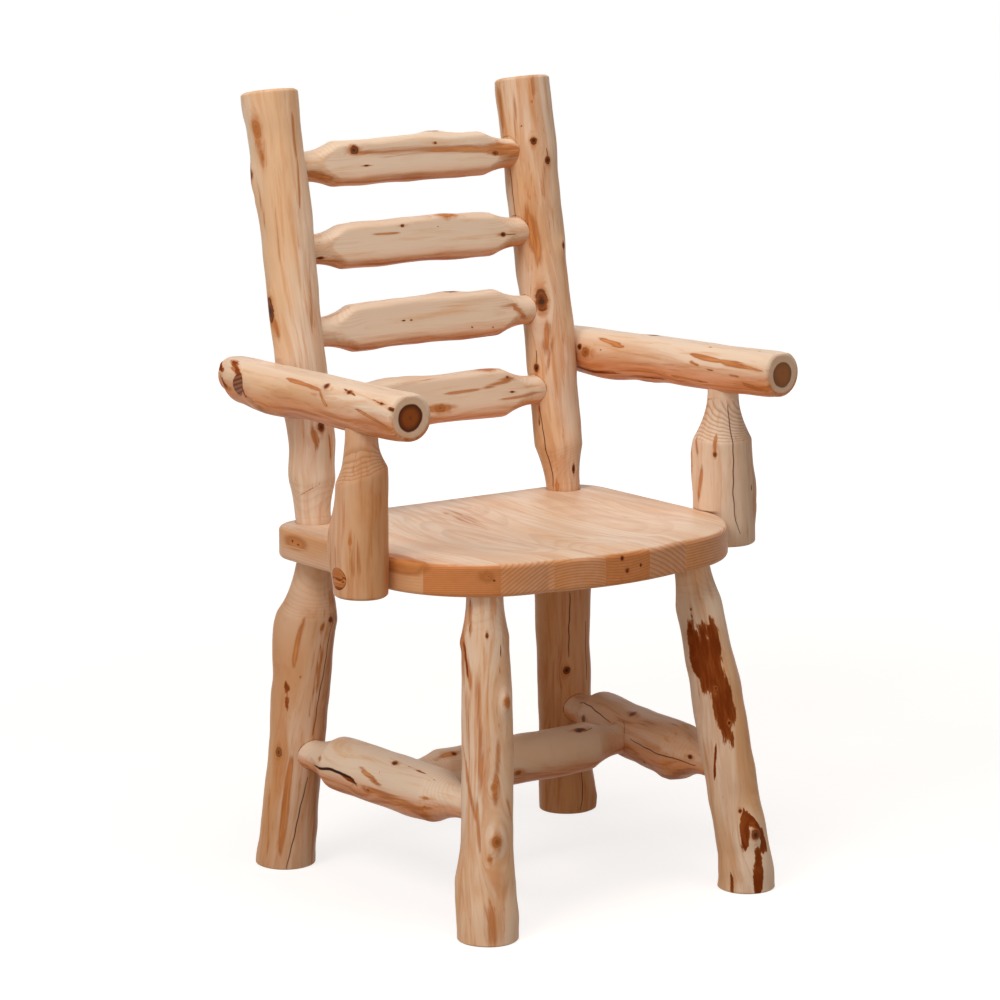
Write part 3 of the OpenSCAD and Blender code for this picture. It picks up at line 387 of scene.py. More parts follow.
class Log:
    """A peeled log: a sweep along its line, less what the tenon cutter, the plane and the saw take off."""

    def __init__(self, name, p, q, axes, tenons=(1, 1), cuts=()):
        self.name, self.p, self.axes = name, np.array(p, float), np.array(axes, float)
        self.l = float(np.linalg.norm(np.array(q, float) - self.p))
        kind = {**USUAL, **next(KINDS[word] for word in KINDS if name.startswith(word))}
        self.r, self.bell, self.tenon, self.low = kind["r"], kind["bell"], kind["tenon"], kind["low"]
        self.plain, self.bell_rings, self.planed = kind["plain"], kind["bell_rings"], kind["planed"]
        self.necks = [kind["neck"] * at_end for at_end in tenons]
        self.floor, self.slant, self.cuts = "leg" in name, 0.0, cuts
        self.seed = sum(ord(c) * (i + 3) for i, c in enumerate(name)) % 9973
        self.rows, self.checks = FORMS[name], CHECKS.get(name, [])
        self.knots, self.patches = list(KNOTS.get(name, [])), list(PATCHES.get(name, []))
        self.entries = []
        self.add_unseen()

    def add_unseen(self):
        """A few knots and orange streaks on the side that the photo doesn't show."""
        rng = np.random.default_rng(self.seed + 77)
        for n in range(UNSEEN_TRIES):
            s0, deg, size = self.l * rng.uniform(.15, .85), rng.uniform(-180, 180), rng.uniform(1.5, 4.5)
            turned = np.cos(np.radians(deg)) * self.axes[0] + np.sin(np.radians(deg)) * self.axes[1]
            if turned @ VIEWED_FROM > -.3:
                continue
            if n % 3:
                self.knots.append((s0, deg, size, rng.uniform(1, 1.6), .5, rng.uniform(.4, 1)))
            else:
                s1 = s0 + rng.uniform(30, 90)
                self.patches.append((s0, deg, s1, deg + 4, size, 0, rng.uniform(.6, .9)))

    def ends(self, s):
        """For each end of the log, the radius of its neck, 0 without a tenon, and the distance from it."""
        return (self.necks[0], s), (self.necks[1], self.l - s)

    def bell_radius(self, neck, d):
        """Radius that the tenon cutter leaves at distance d from an end: the neck's, plus a power of d."""
        return neck + BELL_RISE * (np.clip(d, 0, None) / self.bell) ** BELL_POWER

    def centre(self, s):
        """The log's middle at distance s: a straight line, moved by the form table's wander."""
        t = np.clip(s / self.l, 0, 1)
        return form_curve(self.rows, t, 2), form_curve(self.rows, t, 3)

    def natural(self, s, a):
        """Radius of the uncut log: the form table, slow waves round and along it, a rise at each knot."""
        rng = np.random.default_rng(self.seed)
        own = self.r * form_curve(self.rows, np.clip(s / self.l, 0, 1), 1)
        uneven = bpy.context.scene.log_sizes.unevenness * 1000
        wave = np.zeros(np.broadcast(s, a).shape)
        for turns, span, depth in np.repeat(WAVES, 2, 0):
            wave = wave + depth * np.cos(turns * a + rng.uniform(0, TAU)) \
                * np.sin(TAU * s / (span * rng.uniform(.8, 1.3)) + rng.uniform(0, TAU))
        own = own - .1 + uneven * WAVE_SHARE * wave
        for s0, deg, size, stretch, rise, _ in self.knots:
            u, v = self.knot_offset(s, a, s0, deg)
            far = (u / (size * RISE_WIDE)) ** 2 + (v / (size * RISE_LONG * stretch)) ** 2
            own = own + rise * np.exp(-far * 1.4) * (1 - .25 * np.exp(-far * 14))
        return own

    def knot_offset(self, s, a, s0, deg):
        """How far a point lies round the log and along it from a knot."""
        return turn_from(np.radians(deg), a) * self.r, s - s0

    def radius(self, s, a):
        """Radius after cutting: the least of the uncut log, the cutter's bells, the saw's edge, the planes."""
        r = self.natural(s, a)
        for neck, d in self.ends(s):
            if neck:
                slant = self.slant * np.cos(a - SLANT_TOWARD) * ramp(5, 40, d)
                r = soft_min(r, self.bell_radius(neck, d - slant), 1.0)
            elif not (self.floor and d is s):
                r = r - SAWN_EDGE * np.clip(1 - d / SAWN_EDGE, 0, 1) ** 2
        for cut in self.cuts:
            r = soft_min(r, cut(self, s, a), 1.2)
        return r

    def foot(self, a):
        """Where the floor cuts the log, as a distance along it, for each angle round it."""
        s = np.zeros_like(a)
        for _ in range(3 if self.floor else 0):
            cx, cy = self.centre(s)
            r = self.natural(s, a) - 1.5
            side = (cx + r * np.cos(a)) * self.axes[0, 2] + (cy + r * np.sin(a)) * self.axes[1, 2]
            s = -(self.p[2] + side) / self.axes[2, 2]
        return s

    def place(self, s, a, r):
        """The point of space at distance s along the log, angle a round it and radius r."""
        cx, cy = self.centre(s)
        steps = np.stack([cx + r * np.cos(a), cy + r * np.sin(a), s + 0 * a], -1)
        return self.p + steps @ self.axes

    def stations(self):
        """Distances along the log for its rings: even steps, closer at the ends."""
        even = np.linspace(0, 1, int(self.l / bpy.context.scene.log_sizes.ring_step / 1000)) * self.l
        return np.unique(np.round(np.concatenate([even, END_STEPS, self.l - END_STEPS]), 4))

    def end_rings(self, end, edge_s, edge_r, a):
        """Rings past one end: the tenon, if there is one, then rings that shrink to the end's middle."""
        neck, flag = self.necks[end], np.ones(len(SHRINK))
        if not neck:
            return edge_s * SHRINK + np.mean(edge_s) * (1 - SHRINK), edge_r * SHRINK, flag
        way = 1 if end else -1
        far = edge_s + way * np.array([.3, .9, self.tenon - 1, self.tenon])[:, None]
        thin = neck - np.array([.3, .3, .3, 1.4])[:, None] + 0 * a
        return (np.concatenate([far, far[-1:] + 0 * SHRINK]), np.concatenate([thin, thin[-1:] * SHRINK]),
                np.concatenate([np.zeros(4), flag]))

    def build(self, material, slot_name):
        """Makes the log's mesh: rings from end to end, and rings that shrink to the middle of either end."""
        sides = bpy.context.scene.log_sizes.sides
        a = (np.arange(sides) / sides * TAU)[None, :]
        s = self.stations()[:, None]
        foot = self.foot(a)
        s = foot + (self.l - foot) * (s / self.l)
        r = self.radius(s, a)
        if self.floor:
            r = r - 2 * np.clip(1 - (s - foot) / 2, 0, 1) ** 2
        first, last = (self.end_rings(end, s[[end]], r[[end]], a) for end in (0, -1))
        body = s, r, np.zeros(len(s))
        s, r, cap = (np.concatenate([x[::-1], y, z]) for x, y, z in zip(first, body, last))
        cap, a, s = cap[:, None] + 0 * a, a + 0 * s, s + 0 * a
        verts = self.place(s, a, r)
        if self.floor:
            sole = cap * (s < self.l / 2)
            verts[..., 2] = np.where(sole > 0, 0.0, np.maximum(verts[..., 2], 0.0))
        fields = {key: with_tips(values) for key, values in self.surface(s, a, r, cap, verts).items()}
        faces = tube_faces(len(s), sides)
        piece = put_mesh(self.name + "_wood", with_tips(verts), *faces, fields, material)
        finish_piece(piece, slot_name, self.name)

    def surface(self, s, a, r, cap, verts):
        """What the wood shader reads at each point.

        grain: the point in the log's own axes, its angle bent round the knots as water flows round a post.
        knot: distance from the nearest knot in knot radii, how dark it is, and the part of the distance
        that lies along the log.
        ring: distance from the pith counted on the uncut log, bark field, orange field.
        mark: offset from the nearest check and that check's half width, both in millimetres, and distance
        outside the nearest tenon that enters the log.
        cut: how much has been cut away, sawn end or not, share of the way from pith to bark.
        tone: painted orange shade on sides that look down, how far its rings show, and paleness that is partly
        a painted highlight.
        """
        natural = np.maximum(self.natural(s, a), r)
        rng = np.random.default_rng(self.seed + 5)
        solid = cap == 0
        down = -np.cos(a) * self.axes[0, 2] - np.sin(a) * self.axes[1, 2]
        level = np.hypot(self.axes[2, 0], self.axes[2, 1])
        # painted shade: the sides of level logs that look down are made a warmer orange
        shade_and_end_warmth = level * ramp(self.low, self.low + .75, down) * solid
        # painted highlight: the tops of level logs are made paler
        pale_and_highlight = .7 * level * ramp(.25, .9, -down) * solid
        bend = np.zeros_like(s)
        knot = np.zeros(s.shape + (3,)) + NO_KNOT
        for s0, deg, size, stretch, _, dark in self.knots:
            u, v = self.knot_offset(s, a, s0, deg)
            far = (u / size) ** 2 + (v / (size * stretch)) ** 2
            flow = (u / (size * FLOW_WIDE)) ** 2 + (v / (size * stretch * FLOW_LONG)) ** 2
            bend = bend - (u / self.r) * np.minimum(1, 1 / np.maximum(flow, 1e-6)) * np.exp(-flow * .12)
            # a place without a knot is painted paler: partly a painted highlight, partly pale wood round a
            # knot
            if dark < 0:
                pale_and_highlight = np.maximum(pale_and_highlight, -dark * np.exp(-far))
            else:
                mine = np.stack([np.sqrt(far), np.full(s.shape, dark), v / (size * stretch)], -1)
                knot = np.where((np.sqrt(far) < knot[..., 0])[..., None], mine, knot)
        knot[cap > 0] = NO_KNOT
        bent = a + bend * solid
        share = r / natural
        lean = rng.uniform(0, TAU)
        pith = rng.uniform(2, 5) * np.cos(a - lean) * share * (1 - share) * 4
        depth = np.where(solid, share * self.r + pith, r)
        grain = np.stack([r * np.cos(bent), r * np.sin(bent), s], -1) * MM
        grain[..., :2] += 1.7 * rng.uniform(-1, 1)
        bark, orange = np.zeros_like(s), np.zeros_like(s)
        for s0, d0, s1, d1, half, dark, warm in self.patches:
            t = (s - s0) / (s1 - s0 + 1e-6)
            u = turn_from(np.radians(d0 + (d1 - d0) * np.clip(t, 0, 1)), a) * self.r
            over = np.abs(s1 - s0) * np.maximum(0, np.abs(t - .5) - .5)
            taper = .5 * np.clip(np.abs(2 * t - 1), 0, 1) ** 5
            inside = 1 - taper - np.hypot(u / half, over / (half * 2.5))
            bark = np.maximum(bark, dark * (inside + 1) * .5)
            orange = np.maximum(orange, warm * (inside + 1) * .5)
        check = np.zeros(s.shape + (2,)) + NO_CHECK
        best = np.full(s.shape, 7.0)
        for points, half in self.checks:
            at, deg = np.array(sorted(points), float).T
            t = (s - at[0]) / (at[-1] - at[0])
            wiggle = .012 * np.sin(s / 11 + deg[0]) + .008 * np.sin(s / 4.3)
            off = turn_from(np.radians(np.interp(s, at, deg)) + wiggle, a) * r
            wide = .34 * half * np.clip(np.sin(np.pi * np.clip(t, 0, 1)), 0, 1) ** .5
            wide = wide - 2 * ((t < 0) | (t > 1))
            closer = (np.abs(off) < best) & (t > -.1) & (t < 1.1) & solid
            best = np.where(closer, np.abs(off), best)
            check = np.where(closer[..., None], np.stack([off, wide], -1), check)
        gap = np.full(s.shape, NO_JOINT)
        for p, q, neck in self.entries:
            off, t = off_line(verts, p, q)
            beside = (t > 0) & (t < np.linalg.norm(q - p))
            gap = np.minimum(gap, np.where(beside, np.abs(off - neck), NO_JOINT))
        bells, bare = np.zeros_like(s), 1.0
        whole = natural
        for neck, d in self.ends(s):
            if neck:
                bells = np.maximum(bells, 1 - ramp(self.bell * .8, self.bell * 1.2, d))
                bare = bare * ramp(-1, 9, d)
                whole = np.minimum(whole, self.bell_radius(neck, d))
        show = np.maximum(np.maximum(bells * self.bell_rings, cap), self.plain) * bare
        if self.necks[0]:
            show = show * solid
        # painted highlight: the planed flat is made paler
        if self.planed:
            pale_and_highlight = np.maximum(pale_and_highlight, self.planed * ramp(1.2, 2.6, whole - self.cuts[0](self, s, a)) * solid)
        return {"grain": grain, "knot": knot, "tone": np.stack([shade_and_end_warmth, show, pale_and_highlight], -1),
                "ring": np.stack([depth * MM, bark, orange], -1),
                "mark": np.stack([check[..., 0], check[..., 1], gap], -1),
                "cut": np.stack([ramp(.3, 1.6, natural - r), cap, depth / self.r], -1)}


# ---------------------------------------------------------------- where the logs lie

def foot_and_top(node):
    """The foot and the top of a leg, in millimetres."""
    side = LEFT if node.endswith("left") else RIGHT
    if node.startswith("front"):
        foot, top = (200.0 * side - 8, -244.0 - 6 * side, 0), (163.0 * side, -170.0, SEAT_UNDER)
    else:
        foot, top = (232.0 * side + 8, 194.0, 0), (200.0 * side, POST_Y, SEAT_UNDER)
    return np.array(foot), np.array(top)


def stretcher_ends(side):
    """Where a side stretcher's middle line meets the middle lines of its rear leg and its front leg."""
    word = "left" if side == LEFT else "right"
    share = STRETCHER_H / SEAT_UNDER
    rear, front = foot_and_top("rear_leg_" + word), foot_and_top("front_leg_" + word)
    return rear[0] + (rear[1] - rear[0]) * share, front[0] + (front[1] - front[0]) * share


def cross_end(side):
    """Where the cross stretcher's middle line meets a side stretcher's."""
    p, q = stretcher_ends(side)
    return p + (q - p) * (p[1] - CROSS_Y) / (p[1] - q[1])


def plane_cut(axis, offset):
    """A flat planed along a log, at offset behind its middle in its own cross direction 0 or 1."""
    def cut(log, s, a):
        toward = -(np.cos(a), np.sin(a))[axis]
        return np.where(toward > .05, (offset + log.centre(s)[axis]) / np.maximum(toward, .05), 1e3)
    return cut


def side_cut(side, x, s0, s1, soft=1.0, lift=60, outer=False):
    """A flat at distance x from the chair's middle plane, from s0 to s1 along the log.

    It lies on the log's inner side, or on its outer one. Past s0 and s1 it rises by lift over a length soft.
    """
    way = 1 if outer else -1

    def cut(log, s, a):
        cx, cy = log.centre(s)
        middle = (log.p[0] + cx * log.axes[0, 0] + cy * log.axes[1, 0] + s * log.axes[2, 0]) * side
        toward = way * side * (np.cos(a) * log.axes[0, 0] + np.sin(a) * log.axes[1, 0])
        deep = np.where(toward > .05, way * (x - middle) / np.maximum(toward, .05), 1e3)
        outside = np.maximum(0, np.maximum(s0 - s, s - s1))
        return deep + lift * np.clip(outside / soft, 0, 1)
    return cut


def make_logs():
    """All seventeen logs, with the tenons that enter each."""
    logs = {}

    def add(name, p, q, axes=None, shorter=0, **more):
        """Puts in one log from p to q, drawn in at both ends by what is given as shorter."""
        axes = axes_along(q - p) if axes is None else axes
        logs[name] = Log(name, p + axes[2] * shorter, q - axes[2] * shorter, axes, **more)

    c, s = np.cos(LEAN), np.sin(LEAN)
    lean_axes = np.array([[1, 0, 0], [0, c, -s], [0, s, c]])
    slat_axes = np.array([-lean_axes[2], lean_axes[1], lean_axes[0]])
    notch = (ARM_SCREW_Z - SEAT_TOP) / c - NECK_REVEAL
    rise = (ARM_FRONT[2] - ARM_REAR[2]) / (ARM_REAR[1] - ARM_FRONT[1])
    arm_h = ARM_FRONT[2] - (UPRIGHT_Y - ARM_FRONT[1]) * rise
    for side, word in SIDES:
        for kind in ("front_leg_", "rear_leg_"):
            foot, top = foot_and_top(kind + word)
            axis = axes_along(top - foot)[2]
            add(kind + word, foot - axis * LEG_SUNK, top - axis * NECK_REVEAL, axes_along(top - foot),
                tenons=(0, 1))
        add("side_stretcher_" + word, *stretcher_ends(side), shorter=SIDE_START)
        add("back_post_" + word, back_point(side * POST_X, 0, NECK_REVEAL),
            back_point(side * POST_X, 0, POST_L), lean_axes, tenons=(1, 0),
            cuts=[side_cut(side, ARM_IN_X, notch - ARM_NOTCH, notch + ARM_NOTCH, 1.5, 40, outer=True)])
        flip = (side, 1, 1)
        deeper = 4.5 if side == RIGHT else 0
        add("arm_" + word, np.array(ARM_REAR) * flip, np.array(ARM_FRONT) * flip, tenons=(0, 0),
            cuts=[plane_cut(0, ARM_FLAT), side_cut(side, ARM_IN_X - deeper, -50, 110, 40)])
        foot = np.array([side * UPRIGHT_X, UPRIGHT_Y, SEAT_UNDER - FOOT_BELOW])
        add("arm_upright_" + word, foot, np.array([*foot[:2], arm_h - ARM_ABOVE]), np.eye(3), tenons=(0, 1),
            cuts=[side_cut(side, SEAT_HALF, -50, SEAT_TOP - foot[2])])
    logs["arm_upright_right"].slant = SLANT
    add("cross_stretcher", cross_end(RIGHT), cross_end(LEFT), shorter=CROSS_START)
    heights = [SLAT_FIRST + SLAT_STEP * (i - 1) for i in SLATS]
    for i, up in zip(SLATS, heights):
        add("back_slat_%d" % i, back_point(-SLAT_HALF, SLAT_SET, up), back_point(SLAT_HALF, SLAT_SET, up),
            slat_axes, cuts=[plane_cut(1, SLAT_FLAT)])
    for side, word in SIDES:
        p, q = stretcher_ends(side)
        logs["rear_leg_" + word].entries = [(q, p, RUNG_NECK)]
        logs["front_leg_" + word].entries = [(p, q, RUNG_NECK)]
        logs["side_stretcher_" + word].entries = [(cross_end(-side), cross_end(side), RUNG_NECK)]
        foot = logs["arm_upright_" + word].p
        logs["arm_" + word].entries = [(foot, foot + (0, 0, UPRIGHT_H), ARM_NECK)]
        logs["back_post_" + word].entries = [
            (back_point(0, SLAT_SET, up), back_point(side * POST_X, SLAT_SET, up), RUNG_NECK)
            for up in heights]
    return logs


# ---------------------------------------------------------------- the seat

def front_line(x, inset):
    """Front edge of the seat in plan, drawn in by inset: corner arcs, and a shallow bow between them."""
    side = np.abs(x) - (SEAT_HALF - FRONT_CORNER)
    radius = FRONT_CORNER - inset
    middle = SEAT_FRONT + FRONT_CORNER + FRONT_BOW
    bow = FRONT_BOW * (1 - (x / (SEAT_HALF - FRONT_CORNER)) ** 2)
    arc = middle - np.sqrt(np.maximum(radius ** 2 - np.maximum(side, 0) ** 2, 0))
    return np.where(side <= 0, middle - radius - bow, arc)


def back_line(x, inset):
    """Back edge of the seat in plan, drawn in by inset: straight, with a corner arc at either end."""
    side = np.maximum(np.abs(x) - (SEAT_HALF - BACK_CORNER), 0)
    radius = BACK_CORNER - inset
    return SEAT_BACK - BACK_CORNER + np.sqrt(np.maximum(radius ** 2 - side ** 2, 0))


def edge_distance(x, y):
    """Distance from a point of the seat to its nearest edge in plan."""
    side = SEAT_HALF - np.abs(x)
    fx, fy = np.abs(x) - (SEAT_HALF - FRONT_CORNER), (SEAT_FRONT + FRONT_CORNER + FRONT_BOW) - y
    front = np.where(fx > 0, FRONT_CORNER - np.hypot(fx, np.maximum(fy, 0)), y - front_line(x, 0))
    bx, by = np.abs(x) - (SEAT_HALF - BACK_CORNER), y - (SEAT_BACK - BACK_CORNER)
    back = np.where(bx > 0, BACK_CORNER - np.hypot(bx, np.maximum(by, 0)), SEAT_BACK - y)
    return np.minimum(side, np.minimum(front, back))


def rounding(d, e):
    """How far a rounded edge of radius e has dropped at distance d inside the outline."""
    return e - np.sqrt(np.maximum(e * e - np.clip(e - d, 0, e) ** 2, 0))


def seat_top(x, y, e):
    """Height of the seat's top: level, hollowed by two big spheres, with its edge rounded."""
    flats = ((x - side * DISH_X) ** 2 + (y - DISH_Y) ** 2 for side in (LEFT, RIGHT))
    left, right = (SEAT_TOP + DISH_R - DISH_DEPTH - np.sqrt(DISH_R ** 2 - flat) for flat in flats)
    dish = soft_min(left, right, 1.2) + .3
    return soft_min(dish, SEAT_TOP + .35, 1.2) - rounding(edge_distance(x, y), e)


# Each board: its two edges, where the tree's middle lay, the spacing of its rings, how far they show on the
# top, and how orange its end is.
BOARDS = [(-257.5, -239.5, -250, 700, 4.0, .2, .35), (-239.5, -169.5, -205, -60, 2.6, .12, 1.3),
    (-169.5, -99.5, -34, 267, 4.4, .18, .80), (-99.5, -29.5, -70, 300, 3.6, .26, .85),
    (-29.5, 40.5, 10, 640, 3.6, .22, 1.2), (40.5, 110.5, -25, 267, 5.8, .16, .80),
    (110.5, 180.5, 150, -200, 3.6, .18, .75), (180.5, 257.5, 262, 250, 4.0, .26, .75)]
# Knots of the boards: place, size across, length along the board, how dark.
BOARD_KNOTS = [(-26, 108, 455, 3.6, 7.0, 1.0), (-5, -242, 453, 3.0, 9.0, 1.1), (3, -242, 437, 3.4, 9.0, 1.1),
    (25, -241, 441, 2.2, 8.0, .9), (-258, 117, 447, 2.4, 3.0, .9), (-258, 104, 445, 1.8, 4.0, .9),
    (-192, -200, 450, 1.5, 3.0, .9), (-177, -209, 441, 1.6, 3.0, .8), (-183, -206, 446, 1.2, 3.0, .8),
    (-46, -96, 455, 1.6, 4.0, .9)]
# Orange wood in the boards: place, reach in the three directions, strength.
BOARD_PATCHES = [(-16, 95, 455, 17, 62, 9, .66), (-250, -116, 457, 14, 60, 12, 1.3),
    (-258, 110, 446, 6, 24, 8, 1.1), (-205, -130, 458, 60, 26, 5, .45), (-50, 130, 456, 24, 30, 5, .5),
    (6, -242, 444, 30, 12, 18, .3), (-185, -205, 446, 13, 14, 9, .85)]


def build_board(number, material):
    """One board: a closed outline of top, back, underside and front, swept from joint to joint."""
    lo, hi = BOARDS[number - 1][:2]
    e = bpy.context.scene.log_sizes.edge_round * 1000
    quarter = np.linspace(0, np.pi / 2, 9)
    x = [np.linspace(lo, hi, int((hi - lo) / BOARD_STEP) + 2)]
    x += [np.sign(end) * (SEAT_HALF - e * (1 - np.cos(quarter)))
          for end in (lo, hi) if abs(end) == SEAT_HALF]
    x = np.unique(np.round(np.concatenate(x), 4))
    x = x[(x >= lo) & (x <= hi)][:, None]
    room = SEAT_HALF - np.abs(x)
    last = np.minimum(e, room)
    y0, y1 = front_line(x, last), back_line(x, last)
    y_in, low_in = (y0 + (y1 - y0) * np.linspace(0, 1, steps) for steps in (TOP_STEPS, UNDER_STEPS))
    up_in = np.minimum(e * (1 - np.cos(quarter))[None, :], room)
    drop = rounding(up_in, e)
    front_y, back_y = front_line(x, up_in), back_line(x, up_in)
    front_z, back_z = (np.minimum(SEAT_TOP - drop, seat_top(x, y, 0.01)) for y in (front_y, back_y))
    under_z = SEAT_UNDER + rounding(np.minimum(last, e), e) + 0 * low_in
    rows, low_z = np.linspace(0, 1, EDGE_STEPS)[None, 1:-1], SEAT_UNDER + drop
    ys = np.concatenate([front_y, y_in[:, 1:-1], back_y[:, ::-1], back_y[:, :1] + 0 * rows, back_y,
                         low_in[:, ::-1][:, 1:-1], front_y[:, ::-1], front_y[:, :1] + 0 * rows], 1)
    zs = np.concatenate([front_z, seat_top(x, y_in, e)[:, 1:-1], back_z[:, ::-1],
                         back_z[:, :1] + (low_z[:, :1] - back_z[:, :1]) * rows, low_z, under_z[:, 1:-1],
                         low_z[:, ::-1], low_z[:, :1] + (front_z[:, :1] - low_z[:, :1]) * rows], 1)
    verts = np.stack([x + 0 * ys, ys, zs], -1)
    middle = (SEAT_UNDER + SEAT_TOP) / 2
    near, far = ([verts[end] * (1, 1, k) + (0, 0, middle * (1 - k)) for k in JOINT_RINGS]
                 for end in (0, -1))
    verts = np.concatenate([near, verts, far[::-1]])
    quads, tris = tube_faces(*verts.shape[:2])
    points = np.concatenate([verts.reshape(-1, 3), [[x[0, 0], -20.0, middle], [x[-1, 0], -20.0, middle]]])
    piece = put_mesh("seat_board_%d_wood" % number, points, quads[:, ::-1], tris[:, ::-1],
                     board_surface(points, number), material, SHARP)
    finish_piece(piece, "seat_wood", "seat_board_%d" % number)


def board_surface(points, number):
    """What the wood shader reads on a board; its rings are circles round a pith line from front to back."""
    _, _, pith_x, pith_z, _, on_top, warm = BOARDS[number - 1]
    rng = np.random.default_rng(400 + number)
    x, y, z = points.T
    bow = 4 * np.sin((y + rng.uniform(0, 400)) / 90) + rng.uniform(-.03, .03) * y
    gx, gz = x - pith_x + bow, z - pith_z + .5 * bow
    grain = np.stack([gx, gz, y], -1) * MM + number * .37
    gap = np.full(len(points), NO_JOINT)
    for side, word in SIDES:
        above = back_point(side * POST_X, 0, 0), back_point(side * POST_X, 0, 60)
        for ends, level in ((above, z > 440), (foot_and_top("front_leg_" + word), z < 430),
                            (foot_and_top("rear_leg_" + word), z < 430)):
            off = np.abs(off_line(points, *ends)[0] - POST_NECK)
            gap = np.minimum(gap, np.where(level, off, NO_JOINT))
    zero = np.zeros(len(points))
    face = 1 - ramp(.5, 5, edge_distance(x, y))
    knot = zero[:, None] + NO_KNOT
    for kx, ky, kz, size, long, dark in BOARD_KNOTS:
        q = np.sqrt(((x - kx) ** 2 + (z - kz) ** 2) / size ** 2 + ((y - ky) / long) ** 2)
        knot = np.where((q < knot[:, 0])[:, None], np.stack([q, zero + dark, zero], -1), knot)
    rich = zero
    for px, py, pz, wide, long, high, amount in BOARD_PATCHES:
        far = np.sqrt(((x - px) / wide) ** 2 + ((y - py) / long) ** 2 + ((z - pz) / high) ** 2)
        rich = np.maximum(rich, amount * (2 - far) * .5)
    rings = on_top + (.8 - on_top) * face * (number > 1)
    return {"grain": grain, "knot": knot,
            "ring": np.stack([np.hypot(gx, gz) * MM, zero, rich], -1),
            "mark": np.stack([zero + NO_CHECK[0], zero + NO_CHECK[1], gap], -1),
            "cut": np.stack([zero + 1, face, zero + 1], -1),
            "tone": np.stack([warm * face, rings, .45 * (1 - face)], -1)}


# ---------------------------------------------------------------- plugs

def build_plugs(logs, material):
    """Four plugs: discs whose faces follow the log they sit in, with a wall down to a flat back."""
    a = (np.arange(PLUG_SIDES) / PLUG_SIDES * TAU)[None, :]
    rho = (PLUG_R * np.sqrt(np.linspace(0.02, 1, PLUG_RINGS)))[:, None]
    points, quads, tris, marks = [], [], [], []
    for side, word in SIDES:
        for node, x, y, z in (("arm_" + word, ARM_SCREW_X, ARM_SCREW_Y, ARM_SCREW_Z),
                              ("arm_upright_" + word, UPRIGHT_X, UPRIGHT_Y, FOOT_SCREW_Z)):
            log = logs[node]
            py, pz = y + rho * np.cos(a), z + rho * np.sin(a)
            px = np.full(py.shape, x + 30.0) * side
            for _ in range(PLUG_TRIES):
                rel = np.stack([px, py, pz], -1) - log.p
                s = rel @ log.axes[2]
                cx, cy = log.centre(s)
                u, v = rel @ log.axes[0] - cx, rel @ log.axes[1] - cy
                out = np.hypot(u, v) - log.radius(s, np.arctan2(v, u))
                px = px - side * (out - PLUG_OUT)
            face = np.stack([px, py, pz], -1)
            wall = [face[-1:] - [side * deep, 0, 0] for deep in PLUG_WALL]
            plug = with_tips(np.concatenate([face, *wall]))
            faces = tube_faces(PLUG_RINGS + len(PLUG_WALL), PLUG_SIDES)
            q, t = (kind[:, ::-side] + sum(map(len, points)) for kind in faces)
            points.append(plug), quads.append(q), tris.append(t)
            rim = PLUG_R - np.hypot(plug[:, 1] - y, plug[:, 2] - z)
            marks.append(np.stack([0 * rim + (.30 if node == "arm_right" else .22), rim], -1))
    points = np.concatenate(points)
    bark, rim = np.concatenate(marks).T
    x, y, z = points.T * MM
    zero = np.zeros(len(points))
    data = {"grain": np.stack([x, z, y], -1), "knot": zero[:, None] + NO_KNOT,
            "ring": np.stack([z + .3 * y, bark, .95 + zero], -1),
            "mark": np.stack([zero + NO_CHECK[0], zero + NO_CHECK[1], rim], -1),
            "cut": np.stack([zero + 1, zero, zero + 1], -1),
            "tone": np.stack([zero, zero + 1, zero], -1)}
    quads, tris = np.concatenate(quads), np.concatenate(tris)
    piece = put_mesh("plug_caps", points, quads, tris, data, material, SHARP)
    finish_piece(piece, "plug_wood", "screw_plugs")


# ---------------------------------------------------------------- materials

class Value:
    """A number or a colour worked out by nodes, so that sums of such values read like sums."""

    def __init__(self, nodes, socket):
        self.nodes, self.socket = nodes, socket

    def __add__(self, other):
        return self.nodes.maths("ADD", self, other)

    def __sub__(self, other):
        return self.nodes.maths("SUBTRACT", self, other)

    def __mul__(self, other):
        return self.nodes.maths("MULTIPLY", self, other)


